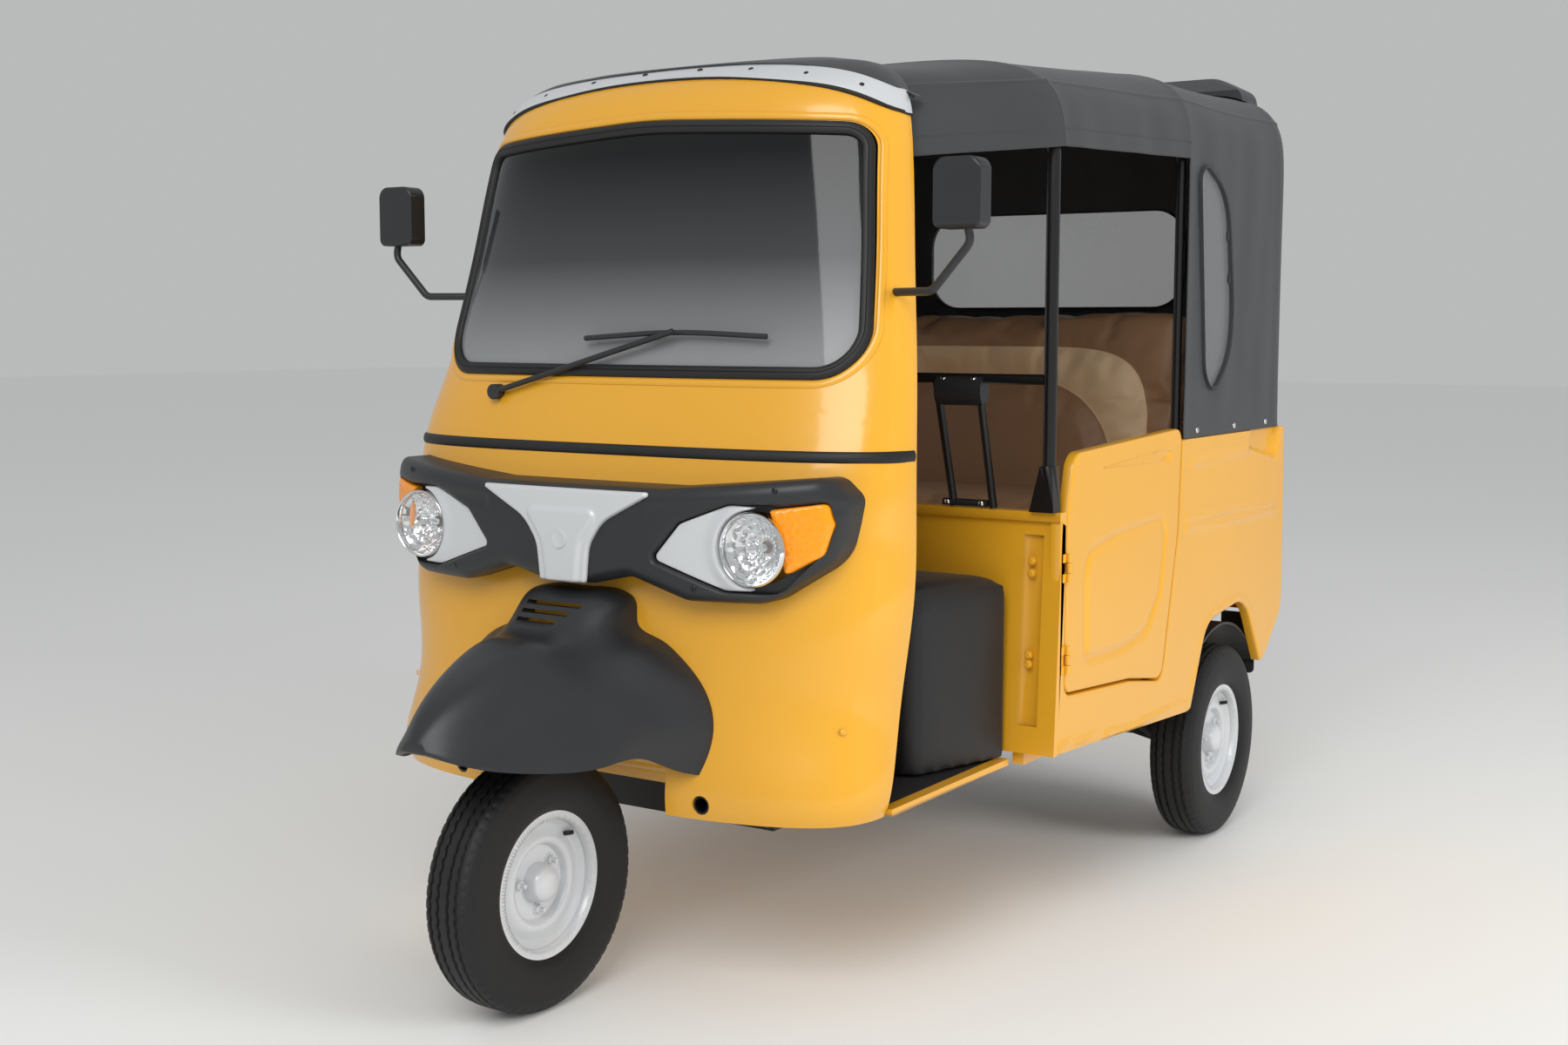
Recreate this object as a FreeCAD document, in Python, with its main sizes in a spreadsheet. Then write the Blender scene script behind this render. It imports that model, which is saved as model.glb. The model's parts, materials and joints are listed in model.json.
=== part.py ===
# Auto rickshaw with three wheels, a steel cab and body, and a vinyl canopy.
# Row frame in millimetres: +X is the vehicle's left, -Y its nose, +Z up, Z = 0 is the ground.
import FreeCAD, Part
import math
import os
import re
import Sketcher
from FreeCAD import Vector

doc = FreeCAD.newDocument("AutoRickshaw")
sheet = doc.addObject("Spreadsheet::Sheet", "Sizes")

# Driving sizes, one row each: name, millimetres.
SIZES = {
    # Wheels and axles
    "wheelbase": 1920, "nose_shift": 80, "rear_track": 1266,
    "tyre_radius": 248, "tyre_width": 118,
    "rim_radius": 131, "rim_flange": 144, "rim_width": 90, "rim_metal": 4,
    "disc_inset": 18, "hub_radius": 38,
    "stub_radius": 17, "stub_gap": 1,
    # Cab front shell
    "shell_bottom": 383, "shell_height": 1465, "shell_half": 605, "shell_depth": 476,
    "shell_ahead": -124, "shell_wall": 18,
    "screen_bottom": 1213, "screen_top": 1728, "screen_low_half": 540, "screen_top_half": 484,
    "screen_drop": 24, "screen_low_corner": 92, "screen_top_corner": 58, "gasket_width": 22,
    "gasket_proud": 5, "glass_inset": 4, "glass_thick": 6,
    "belt_z": 1071, "belt_height": 24, "belt_proud": 7,
    "strip_top": 1815, "strip_drop": 72, "strip_band": 34, "strip_metal": 4,
    "wheel_cut_half": 226, "wheel_cut_top": 497,
    "tow_side": 304, "tow_z": 412, "tow_radius": 14, "tow_wall": 4, "tow_length": 120,
    # Lamp bezel, garnish and lamps
    "bezel_half": 625, "bezel_behind": 105, "bezel_depth": 318,
    "bezel_tall": 231, "bezel_low": 803, "bezel_reach": 566,
    "lamp_side": 415, "lamp_z": 906, "lamp_radius": 71, "lamp_depth": 40, "lamp_glass": 5,
    "lamp_sink": 30, "tray_sink": 9, "garnish_proud": 12,
    # Mudguard
    "guard_top": 806, "guard_rim": 470, "guard_nose": 312, "guard_root": 182, "guard_wall": 7, "guard_half": 304,
    "louvre_wide": 138, "louvre_tall": 7, "louvre_pitch": 15, "louvre_top": 775,
    # Wiper and mirrors
    "wiper_side": 320, "wiper_z": 1178, "wiper_arm": 6, "wiper_pivot": 16,
    "mirror_side": 707, "mirror_z": 1558, "mirror_wide": 98, "mirror_tall": 130, "mirror_deep": 42,
    "mirror_arm": 8, "mirror_glass": 3,
    # Cab floor and seat
    "floor_z": 392, "floor_sheet": 8, "floor_half": 596, "floor_rim": 26, "mat_thick": 6,
    "well_radius": 356, "well_half": 222, "well_wall": 6,
    "driver_half": 520, "driver_back_half": 600, "driver_top": 800, "driver_front": 576, "driver_round": 50,
    # Bulkhead and body
    "body_half": 700, "side_wall": 24, "bulkhead_top": 909, "bulkhead_foot": 414, "bulkhead_y": 879,
    "bulkhead_lean": 27, "bulkhead_wall": 20, "channel_wide": 46, "channel_deep": 12,
    "sill_low": 385, "side_top": 1048, "tail_reach": 403, "tail_lean": 18, "tail_low": 537,
    "rear_wall": 20,
    "door_gap": 5, "door_top": 1062, "door_rise": 28, "door_low": 486, "door_wall": 24,
    "door_end": 361, "door_shoulder": 905, "door_corner": 40,
    "door_press": 8, "hinge_pin": 6, "hinge_tall": 60, "hinge_low": 615, "hinge_high": 811,
    # Passenger space
    "pass_floor": 420, "base_y": 560, "base_top": 755, "cushion_thick": 128, "cushion_deep": 462,
    "cushion_half": 560, "back_top": 1350, "back_thick": 110, "back_ahead": 105, "back_lean": 60, "base_end": 225,
    # Roof frame and canopy
    "pillar_tube": 14, "pillar_y": 870, "frame_tube": 11, "bow_gap": 2,
    "canopy_front": 570, "canopy_spring": 1500, "canopy_wall": 10, "canopy_crown": 1935,
    "canopy_half": 700, "canopy_open": 366, "canopy_tail": 398, "canopy_corner": 90,
    "valance_front": 1640, "valance_mid": 1681, "valance_rear": 1708,
    "rear_window_half": 400, "rail_height": 1205, "pillar_foot": 97,
    "spoiler_z": 1985, "spoiler_half": 625, "spoiler_deep": 120, "spoiler_thick": 40,
    # Rear end
    "lid_half": 470, "lid_top": 960, "lid_low": 500, "lid_thick": 18,
    "lamp_tall": 62, "lamp_wide": 40, "tail_lamp_z": 567, "tail_lamp_x": 600,
    "bumper_z": 365, "bumper_tube": 21, "bumper_half": 560, "bumper_reach": 470,
    # Underbody
    "rail_x": 300, "rail_wide": 50, "rail_tall": 70, "rail_z": 300,
    "arm_tube": 22, "damper_radius": 26, "damper_rod": 9, "shaft_radius": 13,
    "engine_half": 190, "engine_long": 400, "engine_tall": 330, "diff_low": 190, "diff_half": 80,
    "arm_pivot": 320, "arm_side": 520, "hub_plate": 545, "liner_radius": 300, "liner_wall": 6,
    # Steering
    "rake_run": 510, "rake_rise": 1000, "stem_radius": 22, "stem_top": 900, "stem_gap": 0.4, "fork_side": 112,
    "fork_crown": 325, "fork_turn": 285, "fork_foot": 60, "fork_back": 70, "fork_bend": 38,
    "bar_half": 280, "bar_back": 70, "bar_tube": 12, "grip_radius": 17, "grip_length": 120,
    "link_boss": 30, "link_wide": 26, "damper_ahead": 62, "damper_foot": 34,
    "panel_low": 1060, "panel_tall": 130, "panel_half": 420, "panel_clear": 290,
    "seat_gap": 0.3, "cut_over": 60,
}
for row, (name, number) in enumerate(SIZES.items(), start=1):
    sheet.set("A%d" % row, name)
    sheet.set("B%d" % row, str(number))
    sheet.setAlias("B%d" % row, name)
doc.recompute()


class Reader:
    """Gives a size of the sheet by its name."""

    def __getattr__(self, name):
        return float(sheet.get(name))


dim = Reader()
WORD = re.compile(r"\b(?!sin\b|cos\b|tan\b|deg\b)[a-z]\w*")
parts = {}


def sized(text):
    """Turn a sum of plain size names into an expression on the sheet."""
    return WORD.sub(r"Sizes.\g<0>", str(text))


def tie(item, path, text):
    """Bind a property to a sum of sizes."""
    item.setExpression(path, sized(text))


def keep(label, item):
    """Record an object as one of the vehicle's pieces."""
    item.Label = label
    parts[label] = item
    return item


def feature(label, shape):
    """A piece whose form is worked out from the sheet."""
    item = doc.addObject("Part::Feature", label)
    item.Shape = shape
    return keep(label, item)


# Sketches, pads and revolves

def sketch_on(body, role, name):
    """Sketch on one of the body's own origin planes."""
    plane = next(p for p in body.Origin.OriginFeatures if p.Role == role)
    sketch = body.newObject("Sketcher::SketchObject", name)
    sketch.AttachmentSupport = [(plane, "")]
    sketch.MapMode = "FlatFace"
    return sketch


def pin_down(sketch, kind, line, text):
    """Hold one coordinate of a line's start point."""
    if text == "0":
        axis = -2 if kind == "DistanceX" else -1
        sketch.addConstraint(Sketcher.Constraint("PointOnObject", line, 1, axis))
        return
    index = sketch.addConstraint(Sketcher.Constraint(kind, -1, 1, line, 1, 1.0))
    tie(sketch, "Constraints[%d]" % index, text)


def outline(sketch, corners):
    """Closed polygon whose corners are pairs of sums of sizes."""
    count = len(corners)
    ring = [Vector(math.cos(math.tau * k / count), math.sin(math.tau * k / count), 0) for k in range(count)]
    for k in range(count):
        sketch.addGeometry(Part.LineSegment(ring[k], ring[(k + 1) % count]), False)
    for k in range(count):
        sketch.addConstraint(Sketcher.Constraint("Coincident", k, 2, (k + 1) % count, 1))
    for k, (across, up) in enumerate(corners):
        pin_down(sketch, "DistanceX", k, across)
        pin_down(sketch, "DistanceY", k, up)


def place(item, x="0", y="0", z="0"):
    """Put an object at sums of sizes."""
    for axis, text in (("x", x), ("y", y), ("z", z)):
        if text != "0":
            tie(item, "Placement.Base." + axis, text)


def new_body(label):
    """An empty body that is one of the vehicle's pieces."""
    return keep(label, doc.addObject("PartDesign::Body", label))


def pad(body, role, corners, length, both_sides=True):
    """Pad a polygon from an origin plane, to both sides or along the plane's normal."""
    sketch = sketch_on(body, role, body.Name + "Sketch")
    outline(sketch, corners)
    block = body.newObject("PartDesign::Pad", body.Name + "Pad")
    block.Profile = sketch
    block.Midplane = both_sides
    tie(block, "Length", length)
    sketch.Visibility = False
    return block


def turned(label, corners):
    """Revolve a half profile, axial place and radius, about the X axis."""
    body = new_body(label)
    sketch = sketch_on(body, "XY_Plane", body.Name + "Profile")
    outline(sketch, corners)
    spin = body.newObject("PartDesign::Revolution", body.Name + "Spin")
    spin.Profile = sketch
    spin.ReferenceAxis = (sketch, ["H_Axis"])
    spin.Angle = 360
    return body


def block(label, low, span):
    """Box primitive from its low corner and its three spans."""
    item = doc.addObject("Part::Box", label)
    place(item, *low)
    for side, text in zip(("Length", "Width", "Height"), span):
        tie(item, side, text)
    return item


def blend_edges(label, base, radius, chosen):
    """Round the edges of an object that a test on each edge picks."""
    doc.recompute()
    item = doc.addObject("Part::Fillet", label)
    item.Base = base
    item.Edges = [(k, radius, radius) for k, edge in enumerate(base.Shape.Edges, start=1) if chosen(edge)]
    base.Visibility = False
    return item


# Shapes worked out in code

def line_wire(points):
    """Closed wire through 3D points."""
    return Part.makePolygon(points + points[:1])


def rounded(corners, lift):
    """Closed wire of corners (u, v, radius), each turned by an arc; lift makes a 3D point of u and v."""
    count = len(corners)
    edges = []
    ends = []
    for k in range(count):
        u, v, radius = corners[k]
        here = Vector(u, v, 0)
        before = Vector(*corners[k - 1][:2], 0) - here
        after = Vector(*corners[(k + 1) % count][:2], 0) - here
        half = before.getAngle(after) / 2
        reach = radius / math.tan(half) if radius else 0
        start = here + before.normalize() * reach
        stop = here + after.normalize() * reach
        middle = here
        if radius:
            inward = (before + after).normalize()
            middle = here + inward * (radius / math.sin(half) - radius)
        ends.append((start, middle, stop, bool(radius)))
    for k in range(count):
        start, middle, stop, bent = ends[k]
        if bent:
            edges.append(Part.Arc(lift(start), lift(middle), lift(stop)).toShape())
        following = ends[(k + 1) % count][0]
        if stop.distanceToPoint(following) > 1e-6:
            edges.append(Part.LineSegment(lift(stop), lift(following)).toShape())
    return Part.Wire(edges)


def front_view(y):
    """Lifts (x, z) onto the cross plane at y."""
    return lambda p: Vector(p.x, y, p.y)


def side_view(x):
    """Lifts (y, z) onto the lengthwise plane at x."""
    return lambda p: Vector(x, p.x, p.y)


def top_view(z):
    """Lifts (x, y) onto the level plane at z."""
    return lambda p: Vector(p.x, p.y, z)


def prism(wire, run):
    """Solid swept from a flat closed wire along a vector."""
    return Part.Face(wire).extrude(run)


def mirrored(shape):
    """The same shape on the other side of the vehicle."""
    return shape.mirror(Vector(0, 0, 0), Vector(1, 0, 0))


def pair(shape):
    """A shape and its mirror image, apart."""
    return Part.makeCompound([shape, mirrored(shape)])


def super_arc(half, depth, power, count=27):
    """Points of a superellipse from (half, 0) over (0, depth) to (-half, 0), evenly spaced along it."""
    fine = 600
    dense = []
    for k in range(fine + 1):
        turn = math.pi * k / fine
        u = half * math.copysign(abs(math.cos(turn)) ** (2 / power), math.cos(turn))
        dense.append((u, depth * math.sin(turn) ** (2 / power) if 0 < k < fine else 0.0))
    run = [0.0]
    for a, b in zip(dense, dense[1:]):
        run.append(run[-1] + math.dist(a, b))
    chosen = []
    k = 0
    for step in range(count):
        goal = run[-1] * step / (count - 1)
        while k < fine - 1 and run[k + 1] < goal:
            k += 1
        share = (goal - run[k]) / (run[k + 1] - run[k])
        chosen.append(tuple(p + share * (q - p) for p, q in zip(dense[k], dense[k + 1])))
    return chosen


def curve_through(points):
    """Smooth edge through 3D points."""
    spline = Part.BSplineCurve()
    spline.interpolate(points)
    return spline.toShape()


def tube(points, radius, bend):
    """Round bar along straight runs joined by tangent arcs."""
    edges = []
    last = points[0]
    for before, here, after in zip(points, points[1:], points[2:]):
        back = (before - here).normalize()
        ahead = (after - here).normalize()
        half = back.getAngle(ahead) / 2
        reach = bend / math.tan(half)
        middle = here + (back + ahead).normalize() * (bend / math.sin(half) - bend)
        start = here + back * reach
        edges.append(Part.LineSegment(last, start).toShape())
        last = here + ahead * reach
        edges.append(Part.Arc(start, middle, last).toShape())
    edges.append(Part.LineSegment(last, points[-1]).toShape())
    path = Part.Wire(edges)
    ring = Part.Wire(Part.Circle(points[0], points[1] - points[0], radius).toShape())
    return path.makePipeShell([ring], True, False)


def rod(start, stop, radius):
    """Round bar between two points."""
    run = stop - start
    return Part.makeCylinder(radius, run.Length, start, run)


def cuboid(low, high):
    """Box between two corners."""
    return Part.makeBox(high.x - low.x, high.y - low.y, high.z - low.z, low)


def fused(first, *others):
    """Union of touching shapes."""
    return first.multiFuse(list(others))


def smooth_row(table, level):
    """Row of a share table at a level between its rows, by monotone cubic curves."""
    k = max(i for i in range(len(table) - 1) if table[i][0] <= level or i == 0)
    low, high = table[k], table[k + 1]
    step = high[0] - low[0]
    share = (level - low[0]) / step

    def slope(i, column):
        """Slope at a row that never overshoots its neighbours."""
        if i == 0 or i == len(table) - 1:
            j = min(i, len(table) - 2)
            return (table[j + 1][column] - table[j][column]) / (table[j + 1][0] - table[j][0])
        before = (table[i][column] - table[i - 1][column]) / (table[i][0] - table[i - 1][0])
        after = (table[i + 1][column] - table[i][column]) / (table[i + 1][0] - table[i][0])
        return 2 * before * after / (before + after) if before * after > 0 else 0.0

    row = [level]
    for column in range(1, len(low)):
        a, b = low[column], high[column]
        va, vb = slope(k, column) * step, slope(k + 1, column) * step
        row.append(a + share * va + share ** 2 * (3 * (b - a) - 2 * va - vb)
                   + share ** 3 * (va + vb - 2 * (b - a)))
    return row


# Places of the axles
FRONT_AXLE = "-wheelbase/2-nose_shift"
REAR_AXLE = "wheelbase/2-nose_shift"
front_axle = -dim.wheelbase / 2 - dim.nose_shift
rear_axle = dim.wheelbase / 2 - dim.nose_shift

# Steering: the axis rises and leans back from the front wheel's centre.
rake = Vector(0, dim.rake_run, dim.rake_rise).normalize()
wheel_centre = Vector(0, front_axle, dim.tyre_radius)


def on_stem(along, side=0.0, back=0.0):
    """Point at a distance up the steering axis, set aside."""
    return wheel_centre + rake * along + Vector(side, back, 0)


def drum(radius, half):
    """Cylinder across the vehicle about the front axle."""
    return Part.makeCylinder(radius, 2 * half, wheel_centre - Vector(half, 0, 0), Vector(1, 0, 0))


# Cab front shell: plan sections up its height.
# Each row: height, half width, rear edge and front edge as shares, and the corner power.
SHELL_share = [
    (0.000, 0.960, 0.483, 0.000, 2.8), (0.177, 0.975, 0.601, 0.055, 2.8), (0.326, 1.000, 0.628, 0.134, 2.9),
    (0.470, 0.998, 0.630, 0.233, 3.0), (0.569, 0.964, 0.706, 0.345, 2.9), (0.727, 0.902, 0.821, 0.450, 2.8),
    (0.860, 0.858, 0.900, 0.515, 2.7), (0.930, 0.824, 0.940, 0.560, 2.6), (0.966, 0.765, 0.970, 0.630, 2.5),
    (0.988, 0.678, 0.990, 0.730, 2.4), (1.000, 0.520, 1.000, 0.860, 2.3),
]
SHELL_steps = 14
shell_front = front_axle - dim.shell_ahead


def shell_section(share, grow, spread=0.0):
    """Closed plan wire of the cab at one row of shares, grown outwards and carried straight on to the rear."""
    level, wide, rear, front, power = share
    z = dim.shell_bottom + level * (dim.shell_height + grow)
    half = wide * dim.shell_half + grow
    y_rear = shell_front + rear * dim.shell_depth
    y_front = shell_front + front * dim.shell_depth - grow
    points = [Vector(u, y_rear - v, z) for u, v in super_arc(half, y_rear - y_front, power)]
    if not spread:
        return Part.Wire([curve_through(points), Part.LineSegment(points[-1], points[0]).toShape()])
    far = [point + Vector(0, spread, 0) for point in (points[-1], points[0])]
    lines = [Part.LineSegment(a, b).toShape() for a, b in
             ((points[-1], far[0]), (far[0], far[1]), (far[1], points[0]))]
    return Part.Wire([curve_through(points)] + lines)


def shell_solid(grow, spread=0.0):
    """Full cab nose, grown outwards by a distance."""
    levels = [1 - (1 - k / SHELL_steps) ** 1.5 for k in range(SHELL_steps + 1)]
    rows = [smooth_row(SHELL_share, level) for level in levels]
    return Part.makeLoft([shell_section(row, grow, spread) for row in rows], True, False)


def screen_wire(inset):
    """Outline of the windscreen opening in the front view, drawn in by a distance."""
    low, top = dim.screen_bottom + inset, dim.screen_top - inset
    low_half, top_half = dim.screen_low_half - inset, dim.screen_top_half - inset
    low_turn = dim.screen_low_corner - inset
    top_turn = dim.screen_top_corner - inset
    corners = [(-low_half, low, low_turn), (low_half, low, low_turn), (top_half, top - dim.screen_drop, top_turn),
               (0, top, dim.shell_height), (-top_half, top - dim.screen_drop, top_turn)]
    return rounded(corners, front_view(shell_front - dim.cut_over))


def make_shell():
    """Cab shell with its windscreen, and the pieces that follow its surface."""
    outer = shell_solid(0)
    inner = shell_solid(-dim.shell_wall, dim.cut_over)
    depth = Vector(0, dim.shell_depth + 2 * dim.cut_over, 0)
    below = cuboid(Vector(-dim.shell_half, shell_front - dim.cut_over, dim.shell_bottom - dim.cut_over),
                   Vector(dim.shell_half, shell_front + dim.shell_depth, dim.shell_bottom + dim.seat_gap))
    opening = prism(screen_wire(0), depth)
    low = dim.shell_bottom - dim.cut_over
    half, top = dim.wheel_cut_half, dim.wheel_cut_top
    turn = dim.shell_wall * 2
    cut = rounded([(-half, low, 0), (half, low, 0), (half, top, turn), (-half, top, turn)],
                  front_view(shell_front - dim.cut_over))
    wheel_cut = prism(cut, Vector(0, dim.shell_depth / 2, 0))
    holes = [Part.makeCylinder(dim.tow_radius + dim.tow_wall + dim.seat_gap, dim.shell_depth,
                               Vector(side * dim.tow_side, shell_front - dim.cut_over, dim.tow_z), Vector(0, 1, 0))
             for side in (-1, 1)]
    shell = outer.cut(inner)
    collar = dim.stem_radius + dim.stem_gap + dim.well_wall
    column = rod(on_stem(0), on_stem(dim.well_radius * 2), collar + dim.seat_gap)
    shell = shell.cut([below, opening, wheel_cut, drum(dim.well_radius, dim.well_half), column] + holes)
    feature("cab_front_shell", shell)

    skin = shell_solid(dim.gasket_proud).cut(shell_solid(-dim.shell_wall + dim.gasket_proud, dim.cut_over))
    ring = prism(screen_wire(dim.seat_gap), depth).cut(prism(screen_wire(dim.gasket_width), depth))
    gasket = skin.common(ring)
    pane = shell_solid(-dim.glass_inset).cut(shell_solid(-dim.glass_inset - dim.glass_thick, dim.cut_over))
    feature("windscreen", pane.common(prism(screen_wire(dim.gasket_width + dim.seat_gap), depth)))

    band = cuboid(Vector(-dim.shell_half * 2, shell_front - dim.cut_over, dim.belt_z - dim.belt_height / 2),
                  Vector(dim.shell_half * 2, shell_front + dim.shell_depth, dim.belt_z + dim.belt_height / 2))
    belt = shell_solid(dim.belt_proud).cut(shell_solid(dim.seat_gap, dim.cut_over)).common(band)
    feature("cab_seals", Part.makeCompound([gasket, belt]))

    arch = [Vector(x * dim.shell_half, shell_front - dim.cut_over, dim.strip_top - drop * dim.strip_drop)
            for x, drop in STRIP_share]
    upper = [p + Vector(0, 0, dim.strip_band) for p in reversed(arch)]
    wire = Part.Wire([curve_through(arch), Part.LineSegment(arch[-1], upper[0]).toShape(),
                      curve_through(upper), Part.LineSegment(upper[-1], arch[0]).toShape()])
    strip = shell_solid(dim.strip_metal).cut(shell_solid(dim.seat_gap, dim.cut_over))
    feature("roof_strip", strip.common(prism(wire, depth)))


# Arch of the roof strip: place across the cab and drop from its top.
STRIP_share = [(-0.84, 1.20), (-0.70, 0.62), (-0.47, 0.28), (-0.24, 0.07), (0.00, 0.00),
               (0.24, 0.07), (0.47, 0.28), (0.70, 0.62), (0.84, 1.20)]

make_shell()


# Lamp bezel outline over the right half: places as shares of its reach and height, radius as a share of height.
BEZEL_share = [
    (0.10, 0.07, 0.00), (0.27, 0.16, 0.16), (0.49, -0.01, 0.20), (0.77, 0.00, 0.26), (0.97, 0.35, 0.30),
    (1.00, 0.85, 0.10), (0.94, 1.02, 0.12), (0.39, 0.90, 0.30),
]
# Eye-shaped recess of one lamp, in shares of the lens radius from the lens centre.
EYE_share = [
    (-3.03, -0.41, 0.10), (-2.15, 0.62, 0.30), (-0.70, 1.16, 0.60), (0.75, 1.12, 0.30), (1.89, 1.27, 0.12),
    (2.09, 0.70, 0.20), (1.87, -0.02, 0.30), (0.62, -1.16, 0.60), (-0.80, -1.16, 0.60),
]
# Nose garnish over the right half: places across and up from the foot of the bezel.
GARNISH_share = [(0.10, 0.08), (0.115, 0.40), (0.17, 0.60), (0.385, 0.87)]
# Mudguard ribs from its root to its nose: place, half width, crown height, rim height and corner power.
GUARD_share = [
    (0.000, [(0.000, 1.000), (0.303, 0.988), (0.408, 0.929), (0.454, 0.810),
             (0.632, 0.744), (0.770, 0.667), (1.000, 0.018)]),
    (0.136, [(0.000, 0.982), (0.289, 0.970), (0.382, 0.911), (0.434, 0.789),
             (0.605, 0.714), (0.730, 0.637), (0.934, 0.018)]),
    (0.206, [(0.000, 0.917), (0.270, 0.899), (0.355, 0.839), (0.428, 0.750),
             (0.572, 0.685), (0.691, 0.601), (0.862, 0.071)]),
    (0.287, [(0.000, 0.810), (0.250, 0.798), (0.342, 0.750), (0.428, 0.690),
             (0.539, 0.625), (0.651, 0.536), (0.803, 0.125)]),
    (0.455, [(0.000, 0.768), (0.217, 0.750), (0.316, 0.696), (0.401, 0.625),
             (0.493, 0.536), (0.592, 0.405), (0.711, 0.119)]),
    (0.660, [(0.000, 0.685), (0.171, 0.667), (0.257, 0.613), (0.329, 0.530),
             (0.401, 0.423), (0.474, 0.304), (0.553, 0.125)]),
    (0.834, [(0.000, 0.560), (0.118, 0.542), (0.184, 0.494), (0.237, 0.423),
             (0.289, 0.333), (0.329, 0.268), (0.375, 0.167)]),
    (0.955, [(0.000, 0.417), (0.066, 0.405), (0.105, 0.375), (0.138, 0.339),
             (0.171, 0.304), (0.197, 0.274), (0.217, 0.232)]),
    (1.000, [(0.000, 0.333), (0.026, 0.330), (0.046, 0.321), (0.062, 0.310),
             (0.076, 0.298), (0.086, 0.289), (0.092, 0.274)]),]


def bezel_solid(grow):
    """Upright half-moon block whose nose is the face of the lamp bezel, grown by a distance."""
    front = front_axle + dim.bezel_behind
    rear = front + dim.bezel_depth
    points = [Vector(u, rear - v, dim.bezel_low - dim.cut_over)
              for u, v in super_arc(dim.bezel_half + grow, dim.bezel_depth + grow, SHELL_share[0][-1])]
    wire = Part.Wire([curve_through(points), Part.LineSegment(points[-1], points[0]).toShape()])
    return prism(wire, Vector(0, 0, dim.bezel_tall + 2 * dim.cut_over))


def make_bezel():
    """Lamp bezel across the nose, with the garnish, trays, indicators and lamps that it carries."""
    start = front_axle - dim.cut_over
    run = Vector(0, dim.bezel_depth + dim.bezel_behind, 0)
    tall, reach = dim.bezel_tall, dim.bezel_reach
    half = [(x * reach, dim.bezel_low + up * tall, turn * tall) for x, up, turn in BEZEL_share]
    whole = half + [(-x, up, turn) for x, up, turn in reversed(half)]
    mask = prism(rounded(whole, front_view(start)), run)
    face = bezel_solid(0)
    bezel = face.common(mask).cut(shell_solid(dim.seat_gap, dim.cut_over))
    radius = dim.lamp_radius
    eye = prism(rounded([(dim.lamp_side + x * radius, dim.lamp_z + up * radius, turn * radius)
                         for x, up, turn in EYE_share], front_view(start)), run)
    floor = bezel_solid(-dim.lamp_sink)
    barrel = Part.makeCylinder(radius, dim.lamp_sink * 2 + dim.lamp_depth + dim.seat_gap,
                               Vector(dim.lamp_side, lamp_front() - dim.lamp_sink, dim.lamp_z), Vector(0, 1, 0))
    recess = eye.cut(floor).fuse(barrel)
    bezel = bezel.cut([recess, mirrored(recess)])
    feature("lamp_bezel", bezel)

    garnish = [(x * reach, dim.bezel_low + up * tall, 0) for x, up in GARNISH_share]
    garnish = garnish + [(-x, up, turn) for x, up, turn in reversed(garnish)]
    plate = bezel_solid(dim.garnish_proud).cut(bezel_solid(dim.seat_gap))
    blaze = plate.common(prism(rounded(garnish, front_view(start)), run))

    lens_hole = Part.makeCylinder(radius + dim.seat_gap, run.Length, Vector(dim.lamp_side, start, dim.lamp_z),
                                  Vector(0, 1, 0))
    inset = prism(rounded([(dim.lamp_side + x * (radius - dim.seat_gap), dim.lamp_z + up * (radius - dim.seat_gap),
                            turn * radius) for x, up, turn in EYE_share], front_view(start)), run)
    inboard = cuboid(Vector(0, start, 0), Vector(dim.lamp_side + dim.seat_gap, 0, dim.shell_height))
    sheet_in = bezel_solid(-dim.tray_sink).cut(bezel_solid(-dim.lamp_sink + dim.seat_gap))
    tray = sheet_in.common(inset).common(inboard).cut(lens_hole)
    feature("silver_inserts", Part.makeCompound([blaze, tray, mirrored(tray)]))
    outboard = cuboid(Vector(dim.lamp_side + 2 * dim.seat_gap, start, 0),
                      Vector(dim.shell_half * 2, 0, dim.shell_height))
    amber = bezel_solid(dim.seat_gap).cut(bezel_solid(-dim.lamp_sink + dim.seat_gap))
    feature("turn_indicators", pair(amber.common(inset).common(outboard).cut(lens_hole)))


def lamp_front():
    """Where the lens centre meets the bezel's face."""
    share = (dim.lamp_side / dim.bezel_half) ** SHELL_share[0][-1]
    depth = dim.bezel_depth * (1 - share) ** (1 / SHELL_share[0][-1])
    return front_axle + dim.bezel_behind + dim.bezel_depth - depth


def make_lamps():
    """Domed lens over a bowl reflector on each side."""
    radius, lip = dim.lamp_radius - dim.seat_gap, dim.lamp_glass
    front = lamp_front()
    dome = [(0, -radius * 0.30), (radius * 0.5, -radius * 0.22), (radius * 0.85, -radius * 0.02),
            (radius, lip * 2)]
    back = [(radius, lip * 3), (radius * 0.80, lip * 2), (radius * 0.46, -radius * 0.22 + lip),
            (0, -radius * 0.30 + lip)]
    profile = line_wire([Vector(x, y, 0) for x, y in dome + back])
    lens = Part.Face(profile).revolve(Vector(0, 0, 0), Vector(0, 1, 0), 360)
    deep = dim.lamp_sink + dim.lamp_depth
    bowl = [(0, deep - lip), (radius * 0.45, deep - lip * 3), (radius * 0.85, dim.lamp_sink),
            (radius * 0.97, lip * 4), (radius, lip * 4), (radius, dim.lamp_sink),
            (radius * 0.9, dim.lamp_sink + lip), (radius * 0.5, deep - lip), (0, deep - dim.seat_gap)]
    cup = Part.Face(line_wire([Vector(x, y, 0) for x, y in bowl])).revolve(Vector(0, 0, 0), Vector(0, 1, 0), 360)
    for label, shape in (("headlamp_lenses", lens), ("headlamp_reflectors", cup)):
        shape.translate(Vector(dim.lamp_side, front, dim.lamp_z))
        feature(label, pair(shape))


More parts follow.
